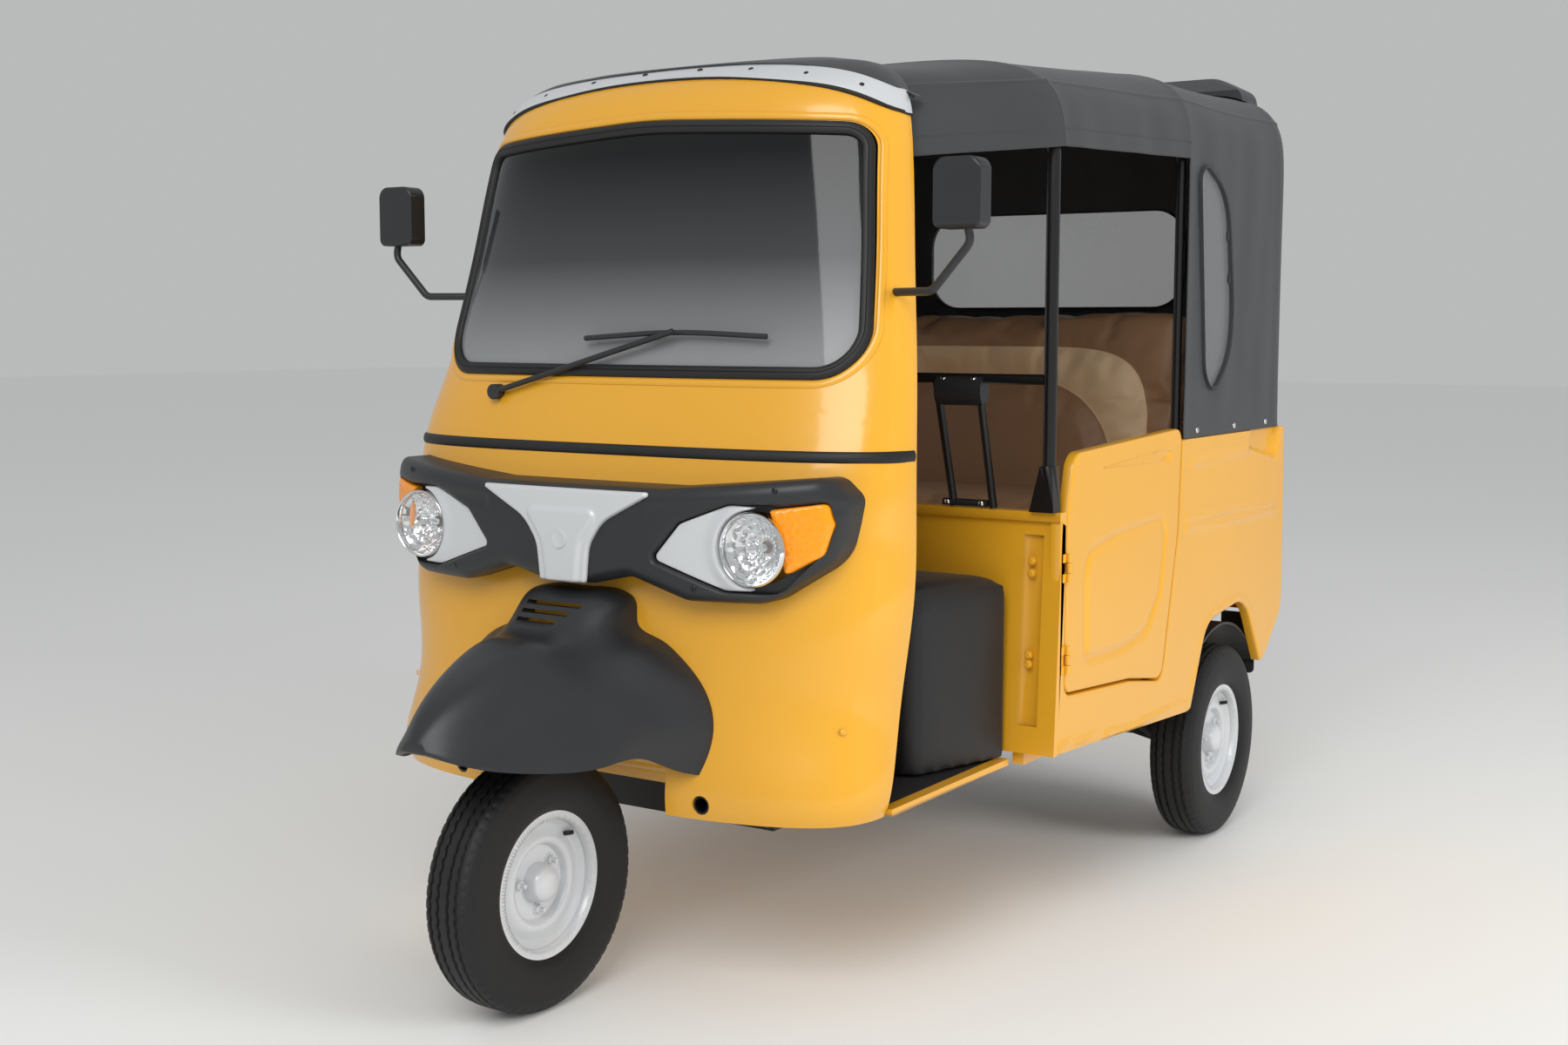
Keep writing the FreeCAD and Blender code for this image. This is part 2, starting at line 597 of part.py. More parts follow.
def guard_section(half, y, inset):
    """Cross-section of the mudguard at a lengthwise place, drawn in by a distance."""
    tall = dim.guard_top - dim.guard_rim
    line = [Vector(x * dim.guard_half, y, dim.guard_rim + up * tall) for x, up in half]
    inner = []
    for k, here in enumerate(line):
        before = line[k - 1] if k else Vector(-line[1].x, y, line[1].z)
        after = line[min(k + 1, len(line) - 1)]
        along = (after - before).normalize()
        inner.append(here + Vector(along.z, 0, -along.x) * inset)
    arc = [Vector(-point.x, y, point.z) for point in reversed(inner[1:])] + inner
    if not inset:
        return Part.Wire([curve_through(arc), Part.LineSegment(arc[-1], arc[0]).toShape()])
    drop = Vector(0, 0, -dim.cut_over)
    corners = [arc[-1], arc[-1] + drop, arc[0] + drop, arc[0]]
    runs = [Part.LineSegment(a, b).toShape() for a, b in zip(corners, corners[1:])]
    return Part.Wire([curve_through(arc)] + runs)


def guard_loft(inset):
    """Mudguard hood drawn in by a distance."""
    root = front_axle + dim.guard_root + inset
    span = dim.guard_root + dim.guard_nose
    wires = [guard_section(half, root - along * span, inset) for along, half in GUARD_share]
    return Part.makeLoft(wires, True, False)


def make_guard():
    """Black hood over the front wheel, fixed to the shell, with louvres in its front step."""
    hood = guard_loft(0).cut(guard_loft(dim.guard_wall))
    y = front_axle + dim.guard_root - dim.guard_half / 2
    slots = []
    for k in range(3):
        low = dim.louvre_top - k * dim.louvre_pitch
        right = dim.louvre_wide * (0.45 - 0.14 * k)
        slots.append(cuboid(Vector(-dim.louvre_wide * 0.55, y, low),
                            Vector(right, y + dim.cut_over * 2, low + dim.louvre_tall)))
    feature("front_mudguard", hood.cut([shell_solid(dim.seat_gap, dim.cut_over)] + slots))


make_bezel()
make_lamps()
make_guard()


def shell_face(x, z, grow=0.0):
    """Lengthwise place of the cab's face at a place across and up."""
    wide, rear, front, power = smooth_row(SHELL_share, (z - dim.shell_bottom) / dim.shell_height)[1:]
    half = wide * dim.shell_half + grow
    depth = (rear - front) * dim.shell_depth + grow
    return shell_front + rear * dim.shell_depth - depth * (1 - (abs(x) / half) ** power) ** (1 / power)


# Tyre section over one half: place across as a share of half the width, height as a share of the wall.
TYRE_share = [(0.30, 1.00), (0.68, 0.975), (0.86, 0.90), (0.97, 0.70), (1.00, 0.50), (0.94, 0.28)]
# Wheel disc, outer face then inner face: share of half the rim width, share of the rim radius.
DISC_share = [(0.62, 0.955), (0.30, 0.86), (0.34, 0.84), (0.58, 0.70), (0.60, 0.64), (0.55, 0.60), (0.22, 0.55),
              (0.22, 0.30)]


def make_wheel(name, side, x, y):
    """Tyre and rim of one wheel; side is 1 where the disc faces +X and -1 where it faces -X."""
    lift = "rim_radius+(tyre_radius-rim_radius)*%g"
    bead = [("rim_width/2-rim_metal-seat_gap", "rim_flange+seat_gap"),
            ("rim_width/2-rim_metal-seat_gap", "rim_radius+seat_gap")]
    half = [("tyre_width/2*%g" % across, lift % up) for across, up in TYRE_share] + bead
    tyre = turned(name + "_tyre", half + [("-(%s)" % across, up) for across, up in reversed(half)])

    lip, inside = "rim_width/2", "rim_radius-rim_metal"
    barrel = [("-(%s)" % lip, "rim_flange"), ("-(%s)+rim_metal" % lip, "rim_flange"),
              ("-(%s)+rim_metal" % lip, "rim_radius"), (lip + "-rim_metal", "rim_radius"),
              (lip + "-rim_metal", "rim_flange"), (lip, "rim_flange"), (lip, inside)]
    face = [("%s*%g" % (lip, across), "rim_radius*%g" % up) for across, up in DISC_share]
    cap = [(lip + "-2*rim_metal", "hub_radius*0.9"), (lip, "hub_radius*0.6"), (lip + "+rim_metal", "0"),
           ("disc_inset+rim_metal", "0"), ("disc_inset+rim_metal", "stub_radius+stub_gap"),
           ("-(%s)+rim_metal" % lip, "stub_radius+stub_gap"), ("-(%s)+rim_metal" % lip, "hub_radius"),
           ("%s*%g-rim_metal" % (lip, DISC_share[-1][0]), "hub_radius")]
    back = [("%s*%g-rim_metal" % (lip, across), "rim_radius*%g" % up) for across, up in reversed(DISC_share[:-1])]
    back += [("%s*%g-rim_metal" % (lip, DISC_share[0][0]), inside), ("-(%s)" % lip, inside)]
    profile = barrel + [("%s*%g" % (lip, DISC_share[0][0]), inside)] + face + cap + back
    if side < 0:
        profile = [(across if across == "0" else "-(%s)" % across, up) for across, up in profile]
    rim = turned(name + "_rim", profile)
    for item in (tyre, rim):
        place(item, x, y, "tyre_radius")


make_wheel("front", 1, "0", FRONT_AXLE)
make_wheel("rear_left", 1, "rear_track/2", REAR_AXLE)
make_wheel("rear_right", -1, "-rear_track/2", REAR_AXLE)


def slab(first, second, radius, run):
    """Link plate with round ends about two points, thick along X."""
    way = (second - first).normalize()
    across = Vector(0, -way.z, way.y) * radius
    web = line_wire([first + across, second + across, second - across, first - across])
    ends = [Part.makeCylinder(radius, run, end, Vector(1, 0, 0)) for end in (first, second)]
    return fused(prism(web, Vector(run, 0, 0)), *ends)


def make_steering():
    """Stem, handlebar, leading link with its stub axle, and damper."""
    side = -dim.fork_side
    foot = on_stem(dim.fork_foot, side, dim.fork_back)
    turn = on_stem(dim.fork_turn, side)
    stem = tube([on_stem(dim.stem_top), on_stem(dim.fork_crown), turn, foot], dim.stem_radius, dim.fork_bend)
    boss = Part.makeCylinder(dim.link_boss, 2 * dim.stem_radius, foot - Vector(dim.stem_radius, 0, 0),
                             Vector(1, 0, 0))
    ear = cuboid(turn - Vector(dim.damper_radius, dim.damper_ahead + dim.damper_radius, 0),
                 turn + Vector(dim.damper_radius, 0, dim.rim_metal * 2))
    feature("steering_stem", fused(stem, boss, ear))

    plate_x = side + dim.stem_radius
    pivot = Vector(plate_x, foot.y, foot.z)
    axle = Vector(plate_x, wheel_centre.y, wheel_centre.z)
    link = slab(pivot, axle, dim.link_boss, dim.link_wide)
    stub = Part.makeCylinder(dim.stub_radius, dim.disc_inset - plate_x, axle, Vector(1, 0, 0))
    feature("front_link", fused(link, stub))

    top = turn - Vector(0, dim.damper_ahead, 0)
    eye = Vector(side, wheel_centre.y, wheel_centre.z)
    way = (top - eye).normalize()
    low = eye + way * (dim.damper_foot + dim.link_boss)
    spring = rod(low, top - way * dim.damper_rod, dim.damper_radius)
    above = cuboid(Vector(side * 2, top.y - dim.fork_side, top.z - dim.seat_gap),
                   Vector(0, top.y + dim.fork_side, top.z + dim.fork_side))
    shank = rod(eye, low, dim.damper_rod)
    lug = Part.makeCylinder(dim.damper_radius * 0.8, dim.stem_radius * 2, eye - Vector(dim.stem_radius, 0, 0),
                            Vector(1, 0, 0))
    cap = rod(top - way * dim.damper_rod * 2, Vector(top.x, top.y, top.z - dim.seat_gap), dim.damper_rod)
    feature("front_damper", fused(spring, shank, lug, cap).cut(above))

    head = on_stem(dim.stem_top)
    inner, outer = dim.bar_half * 0.22, dim.bar_half * 0.48
    rise = dim.bar_tube * 2
    grip_in = dim.bar_half - dim.grip_length
    points = [head + Vector(x, back, rise) for x, back in
              ((-dim.bar_half, dim.bar_back), (-outer, dim.bar_back * 0.8), (-inner, 0), (inner, 0),
               (outer, dim.bar_back * 0.8), (dim.bar_half, dim.bar_back))]
    bar = tube(points, dim.bar_tube, dim.bar_tube * 2)
    clamp = rod(head + rake * dim.seat_gap, head + rake * (rise + dim.bar_tube), dim.stem_radius + dim.rim_metal)
    grips = []
    for end, near in ((points[0], points[1]), (points[-1], points[-2])):
        way = (near - end).normalize()
        grips.append(rod(end, end + way * (dim.bar_half - grip_in), dim.grip_radius))
    feature("handlebar", fused(bar, clamp, *grips))


def make_cab():
    """Wheel well, floor, mat, instrument panel, driver's seat and tow tubes."""
    inside = shell_solid(-dim.shell_wall - dim.seat_gap, dim.cut_over)
    outer = drum(dim.well_radius + dim.well_wall, dim.well_half + dim.well_wall)
    under = cuboid(Vector(-dim.shell_half, shell_front - dim.cut_over, 0),
                   Vector(dim.shell_half, 0, dim.shell_bottom + dim.seat_gap))
    stem_hole = rod(on_stem(0), on_stem(dim.stem_top), dim.stem_radius + dim.stem_gap)
    outside = dim.stem_radius + dim.stem_gap + dim.well_wall
    collar = rod(on_stem(dim.well_radius), on_stem(dim.well_radius * 2), outside)
    well = outer.common(inside).fuse(collar).cut([drum(dim.well_radius, dim.well_half), under, stem_hole])
    feature("wheel_well", well)

    bulk_foot = front_axle + dim.bulkhead_y - dim.bulkhead_lean - dim.seat_gap
    floor_low = dim.floor_z - dim.floor_sheet
    shell_rear = shell_front + SHELL_share[0][2] * dim.shell_depth
    fore = inside.common(cuboid(Vector(-dim.shell_half, shell_front, floor_low),
                                Vector(dim.shell_half, shell_rear, dim.floor_z)))
    aft = cuboid(Vector(-dim.floor_half, shell_rear, floor_low), Vector(dim.floor_half, bulk_foot, dim.floor_z))
    rims = [cuboid(Vector(min(x, x + wide), shell_rear, floor_low), Vector(max(x, x + wide), bulk_foot,
                                                                         dim.floor_z + dim.mat_thick))
            for x, wide in ((dim.floor_half, -dim.floor_rim), (-dim.floor_half, dim.floor_rim))]
    floor = fused(fore, aft, *rims).cut(drum(dim.well_radius + dim.well_wall + dim.seat_gap,
                                            dim.well_half + dim.well_wall + dim.seat_gap))
    feature("cab_floor", floor)
    mat_half = dim.floor_half - dim.floor_rim - dim.seat_gap
    mat = cuboid(Vector(-mat_half, shell_rear, dim.floor_z),
                 Vector(mat_half, bulk_foot, dim.floor_z + dim.mat_thick))
    feature("floor_mat", mat.cut(drum(dim.well_radius + dim.well_wall + dim.seat_gap,
                                      dim.well_half + dim.well_wall + dim.seat_gap)))
    panel = inside.common(cuboid(Vector(-dim.panel_half, shell_front, dim.panel_low),
                                 Vector(dim.panel_half, front_axle + dim.panel_clear,
                                        dim.panel_low + dim.panel_tall)))
    feature("instrument_panel", panel)
    tubes = []
    for x in (-dim.tow_side, dim.tow_side):
        face = Vector(x, shell_face(x, dim.tow_z) - dim.tow_wall, dim.tow_z)
        pipe = Part.makeCylinder(dim.tow_radius + dim.tow_wall, dim.tow_length, face, Vector(0, 1, 0))
        tubes.append(pipe.cut(Part.makeCylinder(dim.tow_radius, dim.tow_length, face, Vector(0, 1, 0))))
    feature("tow_tubes", Part.makeCompound(tubes))


def make_driver_seat():
    """Full-width skirted seat in front of the bulkhead."""
    body = new_body("driver_seat")
    back = FRONT_AXLE + "+bulkhead_y-bulkhead_lean-seat_gap"
    front = FRONT_AXLE + "+driver_front"
    base = pad(body, "XY_Plane", [("driver_half", front), ("driver_back_half", back), ("-driver_back_half", back),
                                  ("-driver_half", front)],
               "driver_top-floor_z-mat_thick-2*seat_gap", both_sides=False)
    doc.recompute()
    chosen = ["Edge%d" % k for k, edge in enumerate(base.Shape.Edges, start=1)
              if edge.BoundBox.YMin < base.Shape.BoundBox.YMax - dim.seat_gap
              and edge.BoundBox.ZMax > dim.seat_gap and abs(edge.BoundBox.YMax - base.Shape.BoundBox.YMax) > dim.seat_gap
              or edge.BoundBox.ZMin > dim.seat_gap]
    turn = body.newObject("PartDesign::Fillet", "DriverSeatRound")
    turn.Base = (base, chosen)
    tie(turn, "Radius", "driver_round")
    body.Tip = turn
    place(body, z="floor_z+mat_thick+seat_gap")


def make_front_trim():
    """Wiper and mirrors."""
    pivot = Vector(-dim.wiper_side, shell_face(dim.wiper_side, dim.wiper_z) - dim.seat_gap, dim.wiper_z)
    lift = dim.gasket_proud + 2 * dim.wiper_arm
    blade = []
    for x, up in WIPER_share:
        across, z = x * dim.screen_low_half, dim.screen_bottom + up * (dim.screen_top - dim.screen_bottom)
        blade.append(Vector(across, shell_face(across, z) - lift, z))
    boss = Part.makeCylinder(dim.wiper_pivot, lift + dim.wiper_arm, pivot, Vector(0, -1, 0))
    arm = rod(pivot - Vector(0, lift, 0), blade[1] - Vector(0, dim.wiper_arm, 0), dim.wiper_arm)
    wiper = fused(boss, arm, tube(blade, dim.wiper_arm * 0.9, dim.shell_height))
    feature("wiper", wiper.cut(shell_solid(dim.seat_gap, dim.cut_over)))

    heads = []
    for side in (1, -1):
        low = dim.mirror_z - dim.mirror_tall / 2
        y = front_axle + dim.canopy_front * 0.70
        root_z = low - dim.mirror_tall * 0.87
        root_y = y + dim.mirror_deep
        root_x = dim.shell_half * 0.9
        points = [Vector(side * root_x, root_y, root_z),
                  Vector(side * (root_x + dim.mirror_wide), y + dim.mirror_arm, root_z),
                  Vector(side * (dim.mirror_side + dim.mirror_wide * 0.2), y, low - dim.mirror_arm * 3),
                  Vector(side * dim.mirror_side, y, dim.mirror_z)]
        arm = tube(points, dim.mirror_arm, dim.mirror_arm * 3)
        half = dim.mirror_wide / 2
        top = low + dim.mirror_tall
        frame = rounded([(side * dim.mirror_side - half, low, half / 3), (side * dim.mirror_side + half, low, half / 3),
                         (side * dim.mirror_side + half, top, half / 2),
                         (side * dim.mirror_side - half, top, half / 2)], front_view(y - dim.mirror_deep / 2))
        head = prism(frame, Vector(0, dim.mirror_deep, 0))
        slot = head.scaled(0.9, head.BoundBox.Center)
        slot.translate(Vector(0, dim.mirror_deep * 0.95 - dim.mirror_glass, 0))
        heads.append(fused(head, arm).cut([slot, shell_solid(dim.seat_gap)]))
    feature("mirrors", Part.makeCompound(heads))


# Wiper blade: place across as a share of the screen's half, height as a share of the screen.
WIPER_share = [(-0.17, 0.150), (0.24, 0.178), (0.63, 0.160)]

make_steering()
make_cab()
make_driver_seat()
make_front_trim()

# Door outline, lengthwise and up, as shares of its length and height, corner radius as a share of the height.
DOOR_share = [(0.00, 0.093, 0.05), (0.00, 0.730, 0.15), (0.05, 0.955, 0.08), (0.985, 1.00, 0.05),
              (0.963, 0.574, 0.40), (0.834, 0.000, 0.06), (0.54, 0.052, 0.20)]
# Pressed groove of the door.
PRESS_share = [(0.155, 0.190, 0.03), (0.150, 0.580, 0.10), (0.400, 0.625, 0.10), (0.850, 0.650, 0.06),
               (0.800, 0.360, 0.20), (0.680, 0.215, 0.12), (0.450, 0.185, 0.10)]
# Finger recess under the door's top edge.
HANDLE_share = [(0.170, 0.884, 0.0), (0.780, 0.926, 0.02), (0.880, 0.915, 0.02), (0.880, 0.868, 0.02),
                (0.800, 0.872, 0.02)]
# Scoop in the top rear corner of the body side, from the axle in shares of the tyre radius.
SCOOP_share = [(0.43, 3.02), (0.50, 3.30), (1.34, 3.30), (1.34, 2.86)]
# Wheel arch over the rear axle: lengthwise and up from the axle in shares of the tyre radius, and corner radius.
ARCH_share = [(-1.34, -0.30, 0.0), (-1.14, 0.46, 0.0), (-0.71, 1.34, 0.40), (0.42, 1.46, 0.50), (1.02, 0.60, 0.0),
              (1.02, -0.30, 0.0)]
# Tail of the body side behind the arch, from the axle in shares of the tyre radius.
TAIL_share = [(0.86, 0.76), (1.08, 0.70)]

foot_y = front_axle + dim.bulkhead_y - dim.bulkhead_lean
brow_y = front_axle + dim.bulkhead_y
door_y = brow_y + dim.bulkhead_wall + dim.door_gap
door_long = rear_axle - dim.door_end - door_y
door_tall = dim.door_top + dim.door_rise / 2 - dim.door_low
tail_y = rear_axle + dim.tail_reach
side_in = dim.body_half - dim.side_wall


def door_wire(shares, x, grow=0.0):
    """Outline of the door, or of a pressing on it, grown by a distance."""
    corners = [(door_y + u * door_long, dim.door_low + v * door_tall, turn * door_tall) for u, v, turn in shares]
    wire = rounded(corners, side_view(x))
    return wire.makeOffset2D(grow, 2) if grow else wire


def wall_of(wire, grow, x, run):
    """Slab of an outline grown by a distance, thick along X."""
    ring = wire.makeOffset2D(grow, 2) if grow else wire
    slab_x = prism(ring, Vector(run, 0, 0))
    slab_x.translate(Vector(x, 0, 0))
    return slab_x


def make_bulkhead():
    """Steel wall between driver and passengers, with a hinge channel down each end."""
    half = dim.body_half
    wall = dim.bulkhead_wall
    corners = [(foot_y, dim.bulkhead_foot), (brow_y, dim.bulkhead_top), (brow_y + wall, dim.bulkhead_top),
               (foot_y + wall, dim.bulkhead_foot)]
    shape = prism(line_wire([Vector(-half, y, z) for y, z in corners]), Vector(2 * half, 0, 0))
    tall = dim.bulkhead_top - dim.bulkhead_foot
    deep = dim.channel_deep
    low, high = dim.bulkhead_foot + tall * 0.12, dim.bulkhead_top - tall * 0.06
    lean = dim.bulkhead_lean / tall
    cuts = []
    for side in (-1, 1):
        x = side * (half - dim.channel_wide * 1.4) - dim.channel_wide / 2
        groove = [Vector(x, foot_y + (z - dim.bulkhead_foot) * lean + back, z)
                  for z, back in ((low, -deep), (high, -deep), (high, deep), (low, deep))]
        cuts.append(prism(line_wire(groove), Vector(dim.channel_wide, 0, 0)))
    lip = cuboid(Vector(-half, brow_y - deep, dim.bulkhead_top),
                 Vector(half, brow_y + wall, dim.bulkhead_top + wall))
    feature("bulkhead", fused(shape.cut(cuts), lip))


def side_panel(with_door):
    """Body side over the sill, the rear quarter and the wheel arch, for the vehicle's left."""
    start = foot_y + dim.bulkhead_wall + dim.seat_gap
    unit = dim.tyre_radius
    lean = dim.tail_lean / (dim.side_top - dim.tail_low)
    front_top = brow_y + dim.bulkhead_wall + dim.seat_gap
    corners = [(start, dim.bulkhead_foot), (rear_axle - unit * 1.2, dim.sill_low - dim.door_gap * 2),
               (rear_axle + unit * TAIL_share[1][0], dim.sill_low + dim.door_gap * 8),
               (tail_y - dim.door_gap * 2, dim.tail_low), (tail_y, dim.tail_low + dim.lamp_tall / 2),
               (tail_y - dim.tail_lean, dim.side_top), (front_top, dim.side_top), (front_top, dim.bulkhead_top)]
    panel = prism(line_wire([Vector(side_in, y, z) for y, z in corners]), Vector(dim.side_wall, 0, 0))
    arch = rounded([(rear_axle + u * unit, unit + v * unit, turn * unit) for u, v, turn in ARCH_share],
                   side_view(side_in))
    scoop = line_wire([Vector(side_in + dim.rim_metal, rear_axle + u * unit, unit + v * unit)
                       for u, v in SCOOP_share])
    panel = panel.cut([prism(arch, Vector(dim.side_wall, 0, 0)), prism(scoop, Vector(dim.side_wall, 0, 0))])
    hole = wall_of(door_wire(DOOR_share, side_in), dim.door_gap, 0, dim.side_wall)
    if with_door:
        above = cuboid(Vector(side_in, front_top - dim.cut_over, dim.door_shoulder),
                       Vector(dim.body_half, door_y + door_long * 0.97, dim.shell_height))
        return panel.cut([hole, above])
    groove = wall_of(door_wire(PRESS_share, dim.body_half - dim.door_press), 0, 0, dim.door_press)
    core = wall_of(door_wire(PRESS_share, dim.body_half - dim.door_press), -2 * dim.door_press, 0, dim.door_press)
    return panel.cut(groove.cut(core))


def lean_y(z):
    """Outer face of the rear wall at a height."""
    return tail_y - dim.tail_lean * (z - dim.tail_low) / (dim.side_top - dim.tail_low) - dim.rim_metal


def lid_axis():
    """Lengthwise place and height of the lid's hinge."""
    z = dim.lid_top + dim.door_gap / 2
    return lean_y(z) + dim.hinge_pin, z


def make_sides():
    """Left side with its door, and the right side with the same pressing in a fixed panel."""
    feature("body_side_left", side_panel(True))
    feature("body_side_right", mirrored(side_panel(False)))
    leaf = wall_of(door_wire(DOOR_share, dim.body_half - dim.door_wall), 0, 0, dim.door_wall)
    groove = wall_of(door_wire(PRESS_share, dim.body_half - dim.door_press), 0, 0, dim.door_press)
    core = wall_of(door_wire(PRESS_share, dim.body_half - dim.door_press), -2 * dim.door_press, 0, dim.door_press)
    finger = wall_of(door_wire(HANDLE_share, dim.body_half - dim.door_press), 0, 0, dim.door_press)
    leaf = leaf.cut([groove.cut(core), finger])
    hinge_x, hinge_y = dim.body_half + dim.hinge_pin, door_y - dim.door_gap / 2
    root, moving = [], []
    half = dim.hinge_tall / 2
    third = half / 3
    plate = dim.rim_metal / 2
    for z in (dim.hinge_low, dim.hinge_high):
        foot = Vector(hinge_x, hinge_y, z)
        root.append(rod(foot - Vector(0, 0, half), foot + Vector(0, 0, half), dim.hinge_pin / 2))
        for low, high in ((-half, -third - plate), (third + plate, half)):
            barrel = rod(foot + Vector(0, 0, low), foot + Vector(0, 0, high), dim.hinge_pin)
            strap = cuboid(Vector(dim.body_half + dim.seat_gap, hinge_y - dim.bulkhead_wall, z + low),
                           Vector(dim.body_half + plate, hinge_y, z + high))
            root += [barrel, strap]
        knuckle = rod(foot - Vector(0, 0, third), foot + Vector(0, 0, third), dim.hinge_pin)
        strap = cuboid(Vector(dim.body_half, hinge_y, z - third),
                       Vector(dim.body_half + plate, door_y + dim.door_corner, z + third))
        moving.append(fused(knuckle, strap).cut(rod(foot - Vector(0, 0, half), foot + Vector(0, 0, half),
                                                    dim.hinge_pin / 2 + dim.seat_gap)))
    feature("door_leaf", leaf.multiFuse(moving))
    lid_y, lid_z = lid_axis()
    for x in (-dim.lid_half * 0.7, dim.lid_half * 0.7):
        foot = Vector(x, lid_y, lid_z)
        root.append(rod(foot - Vector(half, 0, 0), foot + Vector(half, 0, 0), dim.hinge_pin / 2))
        for low, high in ((-half, -third - plate), (third + plate, half)):
            barrel = rod(foot + Vector(low, 0, 0), foot + Vector(high, 0, 0), dim.hinge_pin)
            strap = cuboid(Vector(x + low, lid_y - dim.hinge_pin + dim.seat_gap, lid_z),
                           Vector(x + high, lid_y - dim.hinge_pin + plate, lid_z + dim.hinge_tall / 2))
            root += [barrel, strap]
    feature("hinges", root[0].multiFuse(root[1:]))


def rear_slab(low, high, half, wall, set_in=0.0):
    """Leaning slab of the rear wall between two heights."""
    ring = [Vector(-half, lean_y(low) - set_in, low), Vector(-half, lean_y(high) - set_in, high),
            Vector(-half, lean_y(high) - set_in - wall, high), Vector(-half, lean_y(low) - set_in - wall, low)]
    return prism(line_wire(ring), Vector(2 * half, 0, 0))


def make_rear():
    """Rear wall, engine lid, tail lamps, deck and bumper."""
    half = side_in - dim.seat_gap
    wall = rear_slab(dim.tail_low, dim.side_top, half, dim.rear_wall)
    gap = dim.door_gap
    hole = rear_slab(dim.lid_low - gap - dim.cut_over, dim.lid_top + gap, dim.lid_half + gap, dim.rear_wall * 3,
                     -dim.rear_wall)
    lamp_hole = cuboid(Vector(dim.tail_lamp_x - dim.lamp_wide, tail_y - dim.cut_over,
                              dim.tail_lamp_z - dim.lamp_tall / 2),
                       Vector(dim.tail_lamp_x + dim.lamp_wide, tail_y + dim.cut_over,
                              dim.tail_lamp_z + dim.lamp_tall / 2))
    feature("rear_wall", wall.cut([hole, lamp_hole, mirrored(lamp_hole)]))
    lid = rear_slab(dim.tail_low, dim.lid_top, dim.lid_half, dim.lid_thick)
    lid_y, lid_z = lid_axis()
    third = dim.hinge_tall / 6
    moving = []
    for x in (-dim.lid_half * 0.7, dim.lid_half * 0.7):
        knuckle = rod(Vector(x - third, lid_y, lid_z), Vector(x + third, lid_y, lid_z), dim.hinge_pin)
        strap = cuboid(Vector(x - third, lean_y(dim.lid_top), lid_z - dim.hinge_tall / 2),
                       Vector(x + third, lid_y - dim.hinge_pin + dim.rim_metal / 2, lid_z))
        bore = rod(Vector(x - third, lid_y, lid_z), Vector(x + third, lid_y, lid_z),
                   dim.hinge_pin / 2 + dim.seat_gap)
        moving.append(fused(knuckle, strap).cut(bore))
    feature("engine_lid", lid.multiFuse(moving))
    lamp = cuboid(Vector(dim.tail_lamp_x - dim.lamp_wide + dim.seat_gap, tail_y - dim.rear_wall,
                         dim.tail_lamp_z - dim.lamp_tall / 2 + dim.seat_gap),
                  Vector(dim.tail_lamp_x + dim.lamp_wide - dim.seat_gap, tail_y + dim.rear_wall,
                         dim.tail_lamp_z + dim.lamp_tall / 2 - dim.seat_gap))
    feature("tail_lamps", pair(lamp))


def make_passenger_space():
    """Floor, seat base, cushion, back and wheel liners."""
    half = side_in - dim.seat_gap
    start = foot_y + dim.bulkhead_wall + 2 * dim.seat_gap
    seat_y = rear_axle - dim.base_y
    beam = dim.pass_floor - dim.floor_sheet - dim.floor_z + dim.floor_sheet
    plate = cuboid(Vector(-half, start, dim.pass_floor - dim.floor_sheet), Vector(half, seat_y, dim.pass_floor))
    ribs = []
    for share in (-0.9, -0.45, 0.0, 0.45, 0.9):
        x = share * half - dim.floor_rim / 2
        ribs.append(cuboid(Vector(x, start, dim.pass_floor - dim.floor_sheet - beam),
                           Vector(x + dim.floor_rim, seat_y, dim.pass_floor - dim.floor_sheet)))
    feature("passenger_floor", fused(plate, *ribs))

    base_half = dim.cushion_half - dim.floor_sheet
    base_back = rear_axle + dim.base_end
    wall = dim.rear_wall
    outer = cuboid(Vector(-base_half, seat_y, dim.pass_floor + dim.seat_gap),
                   Vector(base_half, base_back, dim.base_top))
    inner = cuboid(Vector(-base_half + wall, seat_y + wall, 0), Vector(base_half - wall, base_back - wall,
                                                                      dim.base_top - wall))
    deck = cuboid(Vector(-half, base_back + dim.seat_gap, dim.base_top - dim.floor_sheet),
                  Vector(half, lean_y(dim.base_top) - dim.rear_wall - dim.rim_metal, dim.base_top))
    feature("seat_base", Part.makeCompound([outer.cut(inner), deck]))
    cushion = block("cushionBlock", ("-cushion_half", REAR_AXLE + "-base_y-floor_sheet", "base_top+seat_gap"),
                    ("2*cushion_half", "cushion_deep", "cushion_thick"))
    soft = blend_edges("seat_cushion", cushion, dim.driver_round * 0.6, lambda edge: True)
    keep("seat_cushion", soft)

    back_y = rear_axle - dim.back_ahead
    low = dim.base_top + dim.seat_gap
    lean = dim.back_lean
    ring = [Vector(-dim.cushion_half, y, z) for y, z in
            ((back_y, low), (back_y + lean, dim.back_top), (back_y + lean + dim.back_thick, dim.back_top),
             (back_y + dim.back_thick, low))]
    rest = prism(line_wire(ring), Vector(2 * dim.cushion_half, 0, 0))
    feature("seat_back", rest.makeFillet(dim.driver_round * 0.6, rest.Edges))

    liner = Part.makeCylinder(dim.liner_radius + dim.liner_wall, half - base_half - dim.door_gap,
                              Vector(base_half + dim.door_gap, rear_axle, dim.tyre_radius), Vector(1, 0, 0))
    bore = Part.makeCylinder(dim.liner_radius, half, Vector(base_half, rear_axle, dim.tyre_radius),
                             Vector(1, 0, 0))
    below = cuboid(Vector(0, 0, -dim.liner_radius),
                   Vector(dim.body_half, dim.wheelbase, dim.pass_floor + dim.seat_gap))
    feature("wheel_liners", pair(liner.cut([bore, below])))


